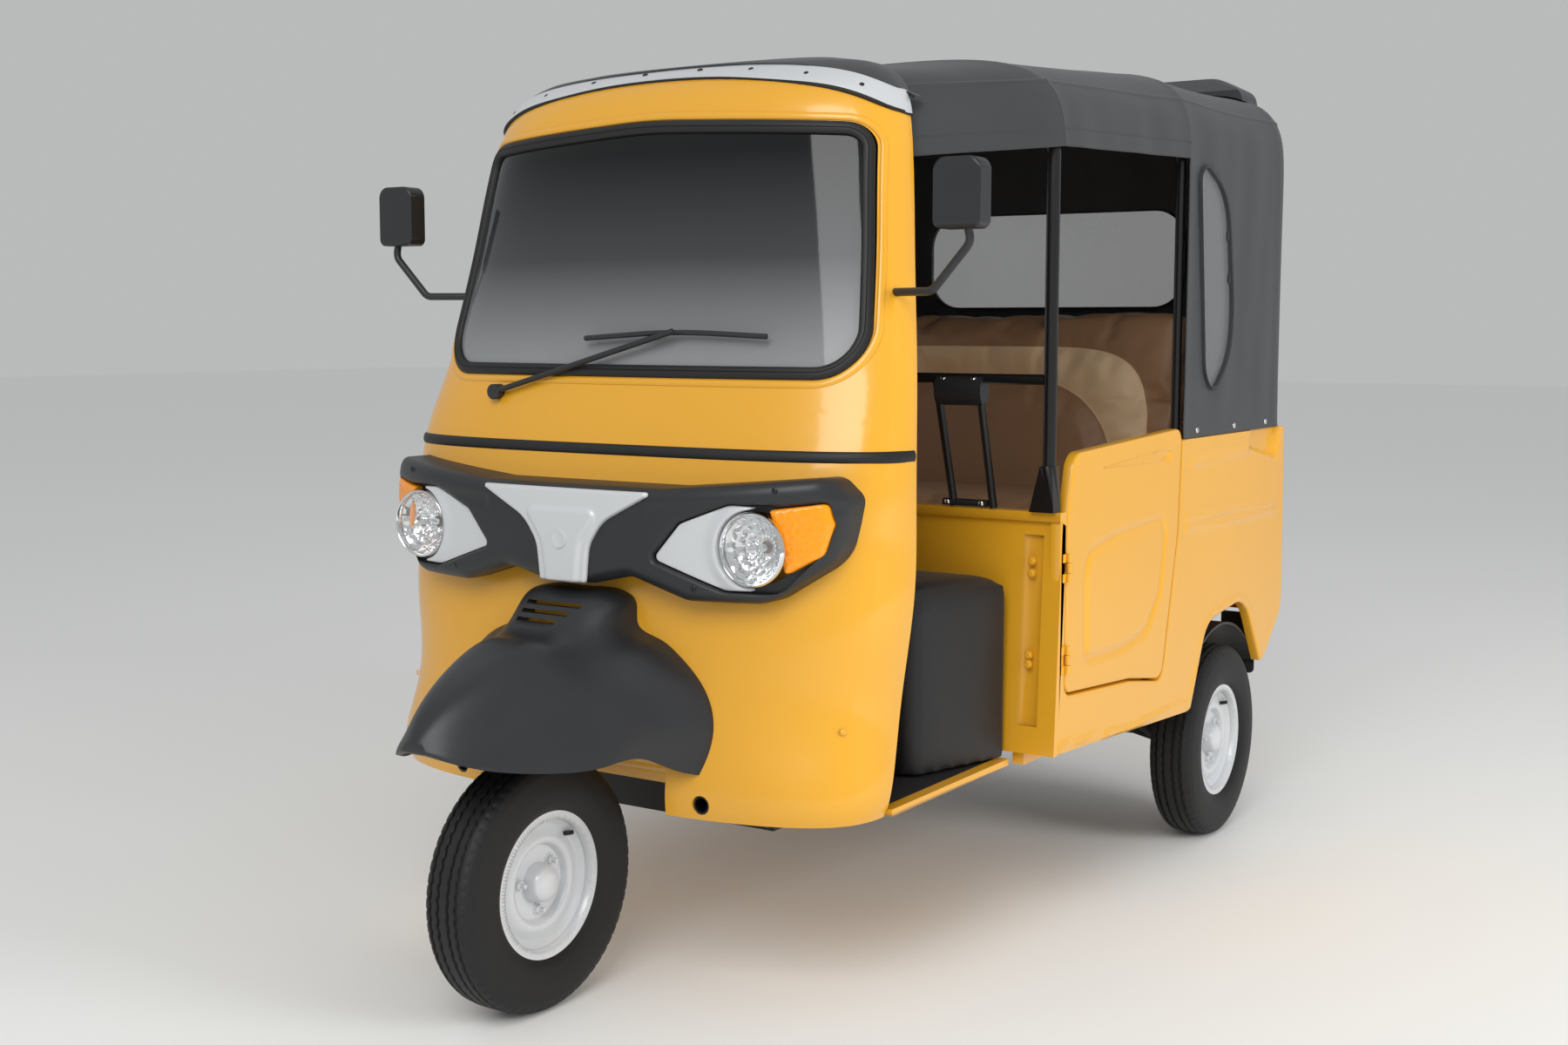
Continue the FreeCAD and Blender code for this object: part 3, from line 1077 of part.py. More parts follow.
# Canopy sections from front to tail: place, half width and crown as shares, and the corner power.
CANOPY_share = [
    (0.000, 0.721, 0.9525, 3.4), (0.040, 0.800, 0.9570, 3.9), (0.095, 0.905, 0.9620, 4.7),
    (0.172, 0.995, 0.9690, 5.8), (0.366, 1.000, 0.9845, 6.4), (0.566, 1.000, 0.9935, 7.0),
    (0.784, 1.000, 0.9975, 7.0), (0.940, 1.000, 1.0000, 7.0),
]
CANOPY_steps = 12
# Places across a bow where its bends lie.
BOW_share = [0.955, 0.78, 0.42]
# Round of the canopy's tail: run back and tuck in, as shares of its corner.
TUCK_share = [(0.50, 0.134), (0.866, 0.50), (0.996, 0.913)]


def canopy_section(along, half, crown, power, grow):
    """Closed cross-section of the canopy at a lengthwise place."""
    spring = dim.canopy_spring
    arc = [Vector(u, along, spring + v) for u, v in super_arc(half + grow, crown + grow - spring, power, 25)]
    low = dim.side_top + dim.seat_gap - (dim.cut_over if grow else 0)
    left, right = Vector(arc[-1].x, along, low), Vector(arc[0].x, along, low)
    return Part.Wire([curve_through(arc), Part.LineSegment(arc[-1], left).toShape(),
                      Part.LineSegment(left, right).toShape(), Part.LineSegment(right, arc[0]).toShape()])


def canopy_solid(grow):
    """Closed form of the canopy, grown outwards by a distance."""
    start = front_axle + dim.canopy_front
    span = rear_axle + dim.canopy_tail - start
    wires = []
    last = CANOPY_share[-1][0]
    for k in range(CANOPY_steps + 1):
        along, wide, crown, power = smooth_row(CANOPY_share, last * (k / CANOPY_steps) ** 1.3)
        y = start + along * span
        wires.append(canopy_section(y, wide * dim.canopy_half, crown * dim.canopy_crown, power, grow))
    corner = dim.canopy_corner + grow
    end = start + span + grow - corner
    for back, tuck in TUCK_share:
        wires.append(canopy_section(end + back * corner, dim.canopy_half - tuck * corner,
                                    dim.canopy_crown - tuck * corner * 0.6, CANOPY_share[-1][-1], grow))
    return Part.makeLoft(wires, True, False)


# Side window of the canopy: lengthwise from the rear axle and up, in shares of the tyre radius, corner radius too.
WINDOW_share = [(-1.22, 5.72, 0.10), (-1.10, 5.88, 0.14), (-0.44, 5.60, 0.30), (-0.24, 4.52, 0.60),
                (-0.28, 4.02, 0.40), (-0.76, 3.64, 0.20), (-1.00, 3.84, 0.14)]


def window_wire(inset):
    """Side window's outline drawn in by a distance."""
    unit = dim.tyre_radius
    corners = [(rear_axle + u * unit, unit + v * unit, turn * unit) for u, v, turn in WINDOW_share]
    wire = rounded(corners, side_view(0))
    return wire.makeOffset2D(-inset, 2) if inset else wire


def rear_window(inset):
    """Rear window's outline drawn in by a distance."""
    low, high = dim.back_top + dim.door_gap * 4 + inset, dim.valance_front - inset
    half = dim.rear_window_half - inset
    turn = dim.canopy_corner - inset
    return rounded([(-half, low, turn), (half, low, turn), (half, high, turn), (-half, high, turn)],
                   front_view(rear_axle))


def make_canopy():
    """Vinyl canopy with its valance, windows and roof spoiler."""
    outer, inner = canopy_solid(0), canopy_solid(-dim.canopy_wall)
    start = front_axle + dim.canopy_front
    open_y = rear_axle - dim.canopy_open
    wide = dim.body_half * 2
    valance = [Vector(-wide, start - dim.cut_over, dim.valance_front),
               Vector(-wide, front_axle + dim.pillar_y, dim.valance_mid), Vector(-wide, open_y, dim.valance_rear),
               Vector(-wide, open_y, 0), Vector(-wide, start - dim.cut_over, 0)]
    side_open = prism(line_wire(valance), Vector(2 * wide, 0, 0))
    windows = prism(window_wire(0), Vector(wide, 0, 0))
    back = prism(rear_window(0), Vector(0, dim.wheelbase, 0))
    hood = outer.cut(inner).cut([side_open, windows, mirrored(windows), back,
                                 shell_solid(dim.strip_metal * 2, dim.strip_metal)])
    feature("canopy", hood)
    film = canopy_solid(-dim.canopy_wall / 2 + dim.mirror_glass / 2)
    film = film.cut(canopy_solid(-dim.canopy_wall / 2 - dim.mirror_glass / 2))
    pane = film.common(prism(window_wire(dim.seat_gap), Vector(wide, 0, 0)))
    rear = film.common(prism(rear_window(dim.seat_gap), Vector(0, dim.wheelbase, 0)))
    feature("canopy_windows", Part.makeCompound([pane, mirrored(pane), rear]))

    tail = rear_axle + dim.canopy_tail
    low = dim.canopy_crown - dim.spoiler_thick
    high = dim.spoiler_z
    wing = [Vector(-dim.spoiler_half, y, z) for y, z in
            ((tail - dim.spoiler_deep * 1.4, low),
             (tail - dim.spoiler_deep * 1.2, dim.canopy_crown + dim.rim_metal),
             (tail - dim.spoiler_deep * 0.4, high),
             (tail - dim.spoiler_deep * 0.15, high - dim.rear_wall),
             (tail - dim.spoiler_deep * 0.4, low))]
    half = dim.spoiler_half
    arch = [(-half, low - dim.spoiler_thick, 0), (half, low - dim.spoiler_thick, 0),
            (half * 0.96, low + dim.spoiler_thick, dim.driver_round), (half * 0.80, high, dim.spoiler_deep)]
    arch += [(-x, z, turn) for x, z, turn in reversed(arch[2:])]
    spoiler = prism(line_wire(wing), Vector(2 * half, 0, 0))
    spoiler = spoiler.common(prism(rounded(arch, front_view(rear_axle)), Vector(0, dim.wheelbase, 0)))
    spoiler = spoiler.cut(canopy_solid(dim.seat_gap))
    feature("roof_spoiler", spoiler)


def make_frame():
    """Pillars, bows and rails that carry the canopy."""
    radius = dim.pillar_tube
    side = CANOPY_share[3][1] * dim.canopy_half - dim.canopy_wall - radius - dim.bow_gap
    y = front_axle + dim.pillar_y
    span = rear_axle + dim.canopy_tail - (front_axle + dim.canopy_front)

    def bow(share, low, tube_radius):
        """Hoop across the roof at one canopy section, just inside the cloth."""
        along, wide, crown, power = share
        here = front_axle + dim.canopy_front + along * span
        half = wide * dim.canopy_half - dim.canopy_wall - tube_radius - dim.bow_gap
        tall = crown * dim.canopy_crown - dim.canopy_wall - tube_radius - dim.bow_gap - dim.canopy_spring
        points = [Vector(x * half, here, dim.canopy_spring + tall * (1 - x ** power) ** (1 / power))
                  for x in BOW_share]
        points = [Vector(half, here, low), Vector(half, here, dim.canopy_spring + tall * 0.5)] + points
        flipped = [Vector(-point.x, point.y, point.z) for point in reversed(points)]
        return tube(points + flipped, tube_radius, tube_radius * 2)

    lip = dim.bulkhead_top + dim.bulkhead_wall + dim.seat_gap
    hoops = [bow(CANOPY_share[3], lip, radius)]
    for share in (CANOPY_share[5], CANOPY_share[7]):
        hoops.append(bow(share, dim.side_top + dim.seat_gap, dim.frame_tube))
    foot = [Vector(side + dx, y - radius - dim.rim_metal, lip + dz) for dx, dz in
            ((-radius * 2.6, 0), (-radius * 0.9, dim.pillar_foot), (radius * 1.1, dim.pillar_foot),
             (radius * 1.4, 0))]
    shoe = prism(line_wire(foot), Vector(0, 2 * (radius + dim.rim_metal), 0))
    feature("roof_bows", Part.makeCompound([fused(hoops[0], shoe, mirrored(shoe))] + hoops[1:]))

    rails = []
    reaches = (0, radius, dim.frame_tube, dim.frame_tube)
    for x in (-0.5, 0.0, 0.5):
        ends = []
        for along, wide, crown, power in (CANOPY_share[2], CANOPY_share[3], CANOPY_share[5], CANOPY_share[7]):
            tall = crown * dim.canopy_crown - dim.canopy_wall - radius - dim.bow_gap * 2 - dim.canopy_spring
            ends.append(Vector(x * side, front_axle + dim.canopy_front + along * span,
                               dim.canopy_spring + tall * (1 - abs(x) ** power) ** (1 / power)))
        for a, b, near, far in zip(ends, ends[1:], reaches, reaches[1:]):
            way = (b - a).normalize()
            rails.append(rod(a + way * (near + dim.seat_gap), b - way * (far + dim.seat_gap), dim.frame_tube))
    feature("roof_rails", Part.makeCompound(rails))

    rail_z = dim.rail_height
    inside = side - radius - dim.seat_gap
    grab = rod(Vector(-inside, y, rail_z), Vector(inside, y, rail_z), dim.frame_tube)
    legs = []
    for s in (-1, 1):
        for top_x, low_x in ((0.60, 0.67), (0.75, 0.81)):
            legs.append(rod(Vector(s * top_x * side, y, rail_z),
                            Vector(s * low_x * side, y, lip + dim.frame_tube * 0.2), dim.frame_tube * 0.8))
    feature("grab_rail", grab.multiFuse(legs))


def make_underbody():
    """Chassis, engine, rear arms with stub axles, drive shafts, dampers and bumper."""
    top = dim.floor_z - dim.floor_sheet - dim.seat_gap
    low = top - dim.rail_tall
    half = dim.rail_wide / 2
    start = shell_front + SHELL_share[0][2] * dim.shell_depth + dim.seat_gap
    end = rear_axle + dim.tail_reach - dim.rear_wall * 2
    rails = [cuboid(Vector(x - half, start, low), Vector(x + half, end, top)) for x in (-dim.rail_x, dim.rail_x)]
    reach = dim.cushion_half - dim.floor_sheet * 2
    arm_y = rear_axle - dim.arm_pivot
    crosses = []
    behind, ahead = rear_axle + dim.engine_long / 2 - half, rear_axle - dim.engine_long / 2 - half
    for y, wide in ((start, dim.rail_x), (foot_y, dim.floor_half * 0.7), (arm_y, reach),
                    (ahead, dim.rail_x), (behind, dim.rail_x)):
        crosses.append(cuboid(Vector(-wide, y, low), Vector(wide, y + dim.rail_wide, top)))
    feature("chassis", fused(rails[0], rails[1], *crosses))

    long = dim.engine_long / 2
    block_low = top + dim.seat_gap
    engine = cuboid(Vector(-dim.rail_x + half, rear_axle - long, block_low),
                    Vector(dim.rail_x - half, rear_axle + long, block_low + dim.engine_tall * 0.5))
    head = cuboid(Vector(-dim.engine_half, rear_axle - long, block_low),
                  Vector(dim.engine_half, rear_axle + long, block_low + dim.engine_tall))
    gearbox = cuboid(Vector(-dim.engine_half, rear_axle - dim.diff_half, dim.diff_low),
                     Vector(dim.engine_half, rear_axle + dim.diff_half, block_low))
    feature("engine", fused(engine, head, gearbox))

    arms, shafts, dampers = [], [], []
    hub = Vector(dim.hub_plate, rear_axle, dim.tyre_radius)
    plate = dim.floor_sheet
    carrier = Part.makeCylinder(dim.hub_radius * 1.6, plate, hub - Vector(plate, 0, 0), Vector(1, 0, 0))
    stub = Part.makeCylinder(dim.stub_radius, dim.rear_track / 2 + dim.disc_inset - dim.hub_plate, hub,
                             Vector(1, 0, 0))
    pivot_z = low + dim.rail_tall / 2
    tubes = []
    for x in (dim.rail_x + dim.rail_wide * 1.5, dim.arm_side):
        eye = Vector(x, arm_y + dim.rail_wide + dim.arm_tube + dim.seat_gap, pivot_z)
        tubes.append(Part.makeCylinder(dim.arm_tube, dim.rail_wide, eye - Vector(dim.rail_wide / 2, 0, 0),
                                       Vector(1, 0, 0)))
        tubes.append(rod(eye, hub - Vector(dim.arm_tube, dim.hub_radius, 0), dim.arm_tube * 0.8))
    pad_at = hub + Vector(-dim.arm_tube * 3, -dim.arm_pivot * 0.35, dim.arm_tube * 3.4)
    cup = rod(pad_at - Vector(0, 0, dim.hub_radius * 1.2), pad_at, dim.damper_radius)
    feature("rear_arms", pair(fused(carrier, stub, cup, *tubes)))
    ceiling = dim.base_top - dim.rear_wall - dim.seat_gap
    foot = pad_at + Vector(0, 0, dim.seat_gap)
    coil = rod(foot, Vector(pad_at.x, pad_at.y, ceiling - dim.hub_radius), dim.damper_radius)
    rod_top = rod(foot, Vector(pad_at.x, pad_at.y, ceiling), dim.damper_rod)
    feature("rear_dampers", pair(fused(coil, rod_top)))
    shaft = rod(Vector(dim.engine_half + dim.seat_gap, rear_axle, dim.tyre_radius),
                hub - Vector(plate + dim.seat_gap, 0, 0), dim.shaft_radius)
    feature("drive_shafts", pair(shaft))
    back = end + dim.seat_gap
    y = rear_axle + dim.bumper_reach - dim.bumper_tube
    bend = dim.bumper_tube * 3
    hoop = tube([Vector(-dim.bumper_half, y - bend * 1.5, dim.bumper_z), Vector(-dim.bumper_half, y, dim.bumper_z),
                 Vector(dim.bumper_half, y, dim.bumper_z), Vector(dim.bumper_half, y - bend * 1.5, dim.bumper_z)],
                dim.bumper_tube, bend)
    brackets = [cuboid(Vector(x - half, back, low), Vector(x + half, y, top)) for x in (-dim.rail_x, dim.rail_x)]
    feature("rear_bumper", fused(hoop, *brackets))


make_bulkhead()
make_sides()
make_rear()
make_passenger_space()
make_canopy()
make_frame()
make_underbody()


def write_parts():
    """Recompute, test every object, and write one file for each piece."""
    doc.recompute()
    for item in doc.Objects:
        if {"Invalid", "Error"} & set(item.State):
            raise SystemExit("%s failed: %s" % (item.Label, item.State))
    os.makedirs("parts", exist_ok=True)
    for label, item in parts.items():
        shape = item.Shape
        if shape.isNull() or not shape.isValid() or not shape.Solids:
            raise SystemExit("%s has no sound shape" % label)
        shape.exportStep("parts/%s.step" % label)
        box = shape.BoundBox
        print("%-22s %2d solids  x %6.0f %6.0f  y %6.0f %6.0f  z %6.0f %6.0f" % (
            label, len(shape.Solids), box.XMin, box.XMax, box.YMin, box.YMax, box.ZMin, box.ZMax))


write_parts()
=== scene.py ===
# %% [markdown]
# # Dressing an auto rickshaw
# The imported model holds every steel, rubber and plastic piece of the vehicle at its real size.
# This lesson gives each piece its finish, and makes anew the pieces whose looks a solid can't
# carry: moulded tyres, the sewn canopy, the stuffed seats, the clear lamps. All lengths are in
# metres, +X is the vehicle's left, -Y its nose and +Z up.

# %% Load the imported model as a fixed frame
import json

import bmesh
import bpy
import numpy as np
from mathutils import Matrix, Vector, geometry

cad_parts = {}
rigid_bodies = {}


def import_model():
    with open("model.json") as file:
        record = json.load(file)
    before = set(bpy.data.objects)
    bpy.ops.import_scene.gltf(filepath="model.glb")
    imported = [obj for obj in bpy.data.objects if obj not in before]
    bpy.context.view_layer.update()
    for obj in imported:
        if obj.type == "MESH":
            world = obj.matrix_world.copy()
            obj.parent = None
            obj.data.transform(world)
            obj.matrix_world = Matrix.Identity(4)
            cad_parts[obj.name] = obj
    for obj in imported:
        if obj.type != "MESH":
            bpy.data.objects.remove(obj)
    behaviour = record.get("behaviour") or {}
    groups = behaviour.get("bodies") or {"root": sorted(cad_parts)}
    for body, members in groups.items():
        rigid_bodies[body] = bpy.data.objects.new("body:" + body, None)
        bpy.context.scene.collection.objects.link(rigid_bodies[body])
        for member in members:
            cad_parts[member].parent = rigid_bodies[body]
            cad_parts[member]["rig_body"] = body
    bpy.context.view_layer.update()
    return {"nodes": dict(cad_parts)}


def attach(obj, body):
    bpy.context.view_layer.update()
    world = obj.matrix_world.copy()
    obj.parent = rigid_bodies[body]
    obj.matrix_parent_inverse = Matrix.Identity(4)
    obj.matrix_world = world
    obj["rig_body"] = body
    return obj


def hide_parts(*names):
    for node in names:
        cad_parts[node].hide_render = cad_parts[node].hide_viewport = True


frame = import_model()
nodes = frame["nodes"]

# %% [markdown]
# ## Tools for finishes
# A paint chip is known by its sRGB hex value, while a shader wants linear light, so one function
# turns the first into the second. Another adds a node with its settings and links. Every pattern
# reads object coordinates, which on these pieces are metres on the vehicle, so a scale of
# 1 / 0.003 gives a grain of 3 mm.


# %% Colour and node helpers
def paint(hex_value):
    """sRGB hex to linear RGBA: below 0.04045 divide by 12.92, above it raise to the power 2.4."""
    srgb = np.array([int(hex_value[k:k + 2], 16) for k in (1, 3, 5)]) / 255
    light = np.where(srgb <= 0.04045, srgb / 12.92, ((srgb + 0.055) / 1.055) ** 2.4)
    return (*light.tolist(), 1.0)


def add(tree, kind, settings):
    """Add a node. A setting named like an input sets or links that input, any other sets a property."""
    node = tree.nodes.new(kind)
    for key, value in settings.items():
        socket = node.inputs[key] if isinstance(key, int) else node.inputs.get(key)
        if socket is None:
            setattr(node, key, value)
        elif isinstance(value, bpy.types.NodeSocket):
            tree.links.new(value, socket)
        else:
            socket.default_value = value
    return node


def new_finish(name, settings):
    """A material with one Principled shader, its node tree, and the object coordinates."""
    material = bpy.data.materials.new(name)
    material.use_nodes = True
    tree = material.node_tree
    tree.nodes.clear()
    shader = add(tree, "ShaderNodeBsdfPrincipled", settings)
    add(tree, "ShaderNodeOutputMaterial", {"Surface": shader.outputs[0]})
    place = add(tree, "ShaderNodeTexCoord", {}).outputs["Object"]
    return material, tree, shader, place


# %% [markdown]
# ## Stoved enamel on pressed steel
# The body is golden yellow enamel, baked hard over pressed sheet. It is glossy but not a mirror:
# the spray leaves a faint ripple, called orange peel, some 6 mm across. The colour drifts a little
# over half a metre. A clear coat on the shader gives the sharp upper shine.

# %% Yellow enamel
GOLDEN, GOLDEN_DEEP = paint("#E4A726"), paint("#DC9D1F")
enamel, tree, shader, place = new_finish("stoved_enamel_yellow", {
    "Roughness": 0.32, "IOR": 1.5, "Coat Weight": 0.55, "Coat Roughness": 0.10})
drift = add(tree, "ShaderNodeTexNoise", {"Vector": place, "Scale": 1 / 0.45, "Detail": 2.0})
tone = add(tree, "ShaderNodeMix", {"data_type": "RGBA", "Factor": drift.outputs["Fac"]})
tone.inputs[6].default_value, tone.inputs[7].default_value = GOLDEN, GOLDEN_DEEP
tree.links.new(tone.outputs[2], shader.inputs["Base Color"])
peel = add(tree, "ShaderNodeTexNoise", {"Vector": place, "Scale": 1 / 0.006, "Detail": 1.0})
ripple = add(tree, "ShaderNodeBump", {"Height": peel.outputs["Fac"], "Strength": 0.03, "Distance": 0.001})
tree.links.new(ripple.outputs[0], shader.inputs["Normal"])

# %% [markdown]
# ## Plastics, rubbers and metals
# Moulded parts differ by their skin. Satin ABS has a fine spark-eroded grain of about 2 mm, seal
# rubber is smoother and duller, and a tyre has a matt skin with a little bloom. Each is a dark
# base with its own roughness and its own small bump.

# %% Dark mouldings, rubbers and black enamel
DARK_SKINS = [
    # name, two colours, roughness, grain in metres, bump strength, depth in metres
    ("abs_satin_charcoal", "#202123", "#27282A", 0.42, 0.0020, 0.12, 0.0004),
    ("seal_rubber_black", "#121213", "#181819", 0.55, 0.0040, 0.10, 0.0004),
    ("tyre_rubber_black", "#0E0E0F", "#151516", 0.60, 0.0030, 0.20, 0.0006),
    ("enamel_black_tube", "#0F0F10", "#141416", 0.28, 0.0080, 0.04, 0.0004),
    ("floor_rubber_black", "#19191A", "#222224", 0.70, 0.0050, 0.25, 0.0008),
    ("underbody_black", "#141415", "#1E1E1E", 0.55, 0.0100, 0.20, 0.0010),
]
skins = {}
for name, low, high, rough, grain, strength, depth in DARK_SKINS:
    skins[name], tree, shader, place = new_finish(name, {"Roughness": rough, "IOR": 1.5})
    grains = add(tree, "ShaderNodeTexNoise", {"Vector": place, "Scale": 1 / grain, "Detail": 3.0})
    cloud = add(tree, "ShaderNodeTexNoise", {"Vector": place, "Scale": 1 / 0.12, "Detail": 3.0})
    tone = add(tree, "ShaderNodeMix", {"data_type": "RGBA", "Factor": cloud.outputs["Fac"]})
    tone.inputs[6].default_value, tone.inputs[7].default_value = paint(low), paint(high)
    tree.links.new(tone.outputs[2], shader.inputs["Base Color"])
    grainy = add(tree, "ShaderNodeBump", {"Height": grains.outputs["Fac"], "Strength": strength,
                                          "Distance": depth})
    tree.links.new(grainy.outputs[0], shader.inputs["Normal"])

# %% Bright metals and silver paint
BRIGHT_SKINS = [
    # name, two colours, metallic, roughness, grain in metres, bump strength
    ("anodised_aluminium", "#D3D5D7", "#DDDFE0", 0.45, 0.34, 0.0030, 0.05),
    ("silver_enamel", "#CBCDCF", "#D3D5D7", 0.20, 0.36, 0.0040, 0.04),
    ("cast_alloy", "#7E8082", "#8E9092", 0.9, 0.55, 0.0060, 0.30),
    ("vacuum_chrome", "#DADCDD", "#E2E3E4", 1.0, 0.08, 0.0200, 0.02),
]
for name, low, high, metal, rough, grain, strength in BRIGHT_SKINS:
    skins[name], tree, shader, place = new_finish(name, {"Metallic": metal, "Roughness": rough})
    grains = add(tree, "ShaderNodeTexNoise", {"Vector": place, "Scale": 1 / grain, "Detail": 3.0})
    tone = add(tree, "ShaderNodeMix", {"data_type": "RGBA", "Factor": grains.outputs["Fac"]})
    tone.inputs[6].default_value, tone.inputs[7].default_value = paint(low), paint(high)
    tree.links.new(tone.outputs[2], shader.inputs["Base Color"])
    grainy = add(tree, "ShaderNodeBump", {"Height": grains.outputs["Fac"], "Strength": strength,
                                          "Distance": 0.0004})
    tree.links.new(grainy.outputs[0], shader.inputs["Normal"])

# %% [markdown]
# ## Glass and clear plastics
# The windscreen is laminated glass whose colour carries painted shade: grey low down and near black at
# the top, where the cabin under the roof behind it lies in shadow. Thin panes look right as a partly
# see-through sheet: alpha lets the cabin through and the shader keeps its shine.

# %% Laminated windscreen with painted shade, darkest at the top
SCREEN_TOP, SCREEN_LOW = 1.66, 1.24
screen_glass, tree, shader, place = new_finish("screen_glass_painted_shade", {
    "Roughness": 0.06, "IOR": 1.5, "Specular IOR Level": 0.35})
height = add(tree, "ShaderNodeSeparateXYZ", {"Vector": place}).outputs["Z"]
band = add(tree, "ShaderNodeMapRange", {"Value": height, "From Min": SCREEN_LOW, "From Max": SCREEN_TOP})
# Painted shade: the glass colour runs from grey at the bottom to near black at the top, for the shadowed
# cabin behind it
shade = add(tree, "ShaderNodeValToRGB", {"Fac": band.outputs[0]})
shade.color_ramp.elements[0].color, shade.color_ramp.elements[1].color = paint("#8E9092"), paint("#0B0C0D")
middle = shade.color_ramp.elements.new(0.5)
middle.color = paint("#3E4042")
tree.links.new(shade.outputs[0], shader.inputs["Base Color"])
veil = add(tree, "ShaderNodeMapRange", {"Value": band.outputs[0], "To Min": 0.91, "To Max": 0.985})
tree.links.new(veil.outputs[0], shader.inputs["Alpha"])

# %% Amber, red and clear mouldings
CLEAR_SKINS = [
    # name, colour, roughness, alpha, ribs in metres, bump strength
    ("polycarbonate_amber", "#FF9A0C", 0.12, 0.95, 0.012, 0.55),
    ("polycarbonate_red", "#9E1510", 0.14, 0.96, 0.010, 0.45),
    ("polycarbonate_clear", "#F2F4F5", 0.04, 0.16, 0.020, 0.05),
    ("clear_pvc_film", "#8F9193", 0.16, 0.38, 0.060, 0.25),
]
for name, colour, rough, alpha, ribs, strength in CLEAR_SKINS:
    skins[name], tree, shader, place = new_finish(name, {
        "Base Color": paint(colour), "Roughness": rough, "Alpha": alpha, "IOR": 1.49,
        "Specular IOR Level": 0.6})
    facets = add(tree, "ShaderNodeTexVoronoi", {"Vector": place, "Scale": 1 / ribs})
    grainy = add(tree, "ShaderNodeBump", {"Height": facets.outputs["Distance"], "Strength": strength,
                                          "Distance": 0.003})
    tree.links.new(grainy.outputs[0], shader.inputs["Normal"])

# %% [markdown]
# ## Coated cloth and vinyl
# Canopy and seats are PVC coated cloth. Its embossed leather grain has cells of about 1.5 mm; it is
# drawn at 4 mm here so that it shows in the render. A sheen keeps the folds from looking wet.

# %% Leather-grained vinyls
VINYLS = [
    # name, two colours, roughness, sheen
    ("coated_cloth_grey", "#303133", "#38393B", 0.60, 0.08),
    ("seat_vinyl_black", "#141415", "#1C1C1E", 0.45, 0.05),
]
for name, low, high, rough, sheen in VINYLS:
    skins[name], tree, shader, place = new_finish(name, {
        "Roughness": rough, "IOR": 1.5, "Sheen Weight": sheen, "Sheen Roughness": 0.5})
    cells = add(tree, "ShaderNodeTexVoronoi", {"Vector": place, "Scale": 1 / 0.004})
    cloud = add(tree, "ShaderNodeTexNoise", {"Vector": place, "Scale": 1 / 0.20, "Detail": 4.0})
    tone = add(tree, "ShaderNodeMix", {"data_type": "RGBA", "Factor": cloud.outputs["Fac"]})
    tone.inputs[6].default_value, tone.inputs[7].default_value = paint(low), paint(high)
    tree.links.new(tone.outputs[2], shader.inputs["Base Color"])
    grainy = add(tree, "ShaderNodeBump", {"Height": cells.outputs["Distance"], "Strength": 0.25,
                                          "Distance": 0.0008})
    tree.links.new(grainy.outputs[0], shader.inputs["Normal"])

# %% [markdown]
# ## Seat cover in two browns
# The bench is covered in dark brown vinyl with a tan hoop sewn into the back rest. Where a point
# lies between two rounded arches, one inside the other, it is tan. An arch is worked out from the
# distances across and up: (|x| / half)^n + (up / rise)^n is 1 along its line, and a larger n makes
# its corners squarer.

# %% Brown bench vinyl with a tan hoop
BENCH_FOOT = 0.80
HOOP_ARCHES = ((0.490, 0.462, 6.0), (0.405, 0.385, 3.0))
bench_vinyl, tree, shader, place = new_finish("seat_vinyl_brown", {
    "Roughness": 0.48, "IOR": 1.5, "Sheen Weight": 0.05, "Sheen Roughness": 0.5})
split = add(tree, "ShaderNodeSeparateXYZ", {"Vector": place})
inside = []
for half, rise, power in HOOP_ARCHES:
    across = add(tree, "ShaderNodeMath", {"operation": "DIVIDE", 0: split.outputs["X"], 1: half})
    sideways = add(tree, "ShaderNodeMath", {"operation": "ABSOLUTE", 0: across.outputs[0]})
    upward = add(tree, "ShaderNodeMath", {"operation": "SUBTRACT", 0: split.outputs["Z"], 1: BENCH_FOOT})
    share = add(tree, "ShaderNodeMath", {"operation": "DIVIDE", 0: upward.outputs[0], 1: rise})
    risen = add(tree, "ShaderNodeMath", {"operation": "MAXIMUM", 0: share.outputs[0], 1: 0.0})
    wide = add(tree, "ShaderNodeMath", {"operation": "POWER", 0: sideways.outputs[0], 1: power})
    tall = add(tree, "ShaderNodeMath", {"operation": "POWER", 0: risen.outputs[0], 1: power})
    level = add(tree, "ShaderNodeMath", {"operation": "ADD", 0: wide.outputs[0], 1: tall.outputs[0]})
    inside.append(add(tree, "ShaderNodeMath", {"operation": "LESS_THAN", 0: level.outputs[0], 1: 1.0}))
hoop = add(tree, "ShaderNodeMath", {
    "operation": "SUBTRACT", 0: inside[0].outputs[0], 1: inside[1].outputs[0]})
cloud = add(tree, "ShaderNodeTexNoise", {"Vector": place, "Scale": 1 / 0.15, "Detail": 4.0})
dark = add(tree, "ShaderNodeMix", {"data_type": "RGBA", "Factor": cloud.outputs["Fac"]})
dark.inputs[6].default_value, dark.inputs[7].default_value = paint("#A07A58"), paint("#AA8462")
two = add(tree, "ShaderNodeMix", {"data_type": "RGBA", "Factor": hoop.outputs[0]})
tree.links.new(dark.outputs[2], two.inputs[6])
two.inputs[7].default_value = paint("#F2D3A8")
tree.links.new(two.outputs[2], shader.inputs["Base Color"])
cells = add(tree, "ShaderNodeTexVoronoi", {"Vector": place, "Scale": 1 / 0.004})
grainy = add(tree, "ShaderNodeBump", {"Height": cells.outputs["Distance"], "Strength": 0.25,
                                      "Distance": 0.0008})
tree.links.new(grainy.outputs[0], shader.inputs["Normal"])
print(len(bpy.data.materials), "finishes made")

# %% [markdown]
# ## Meshes from numbers
# Each new piece is a list of points and blocks of faces. Three ways of making them cover nearly
# all of the vehicle: a profile carried along a path, a profile turned about an axis, and a flat
# outline that is filled with triangles and then laid on a curved face. The last one gives pressed
# panels: the distance of a point from the outline rolls its edge over, as a press tool does.


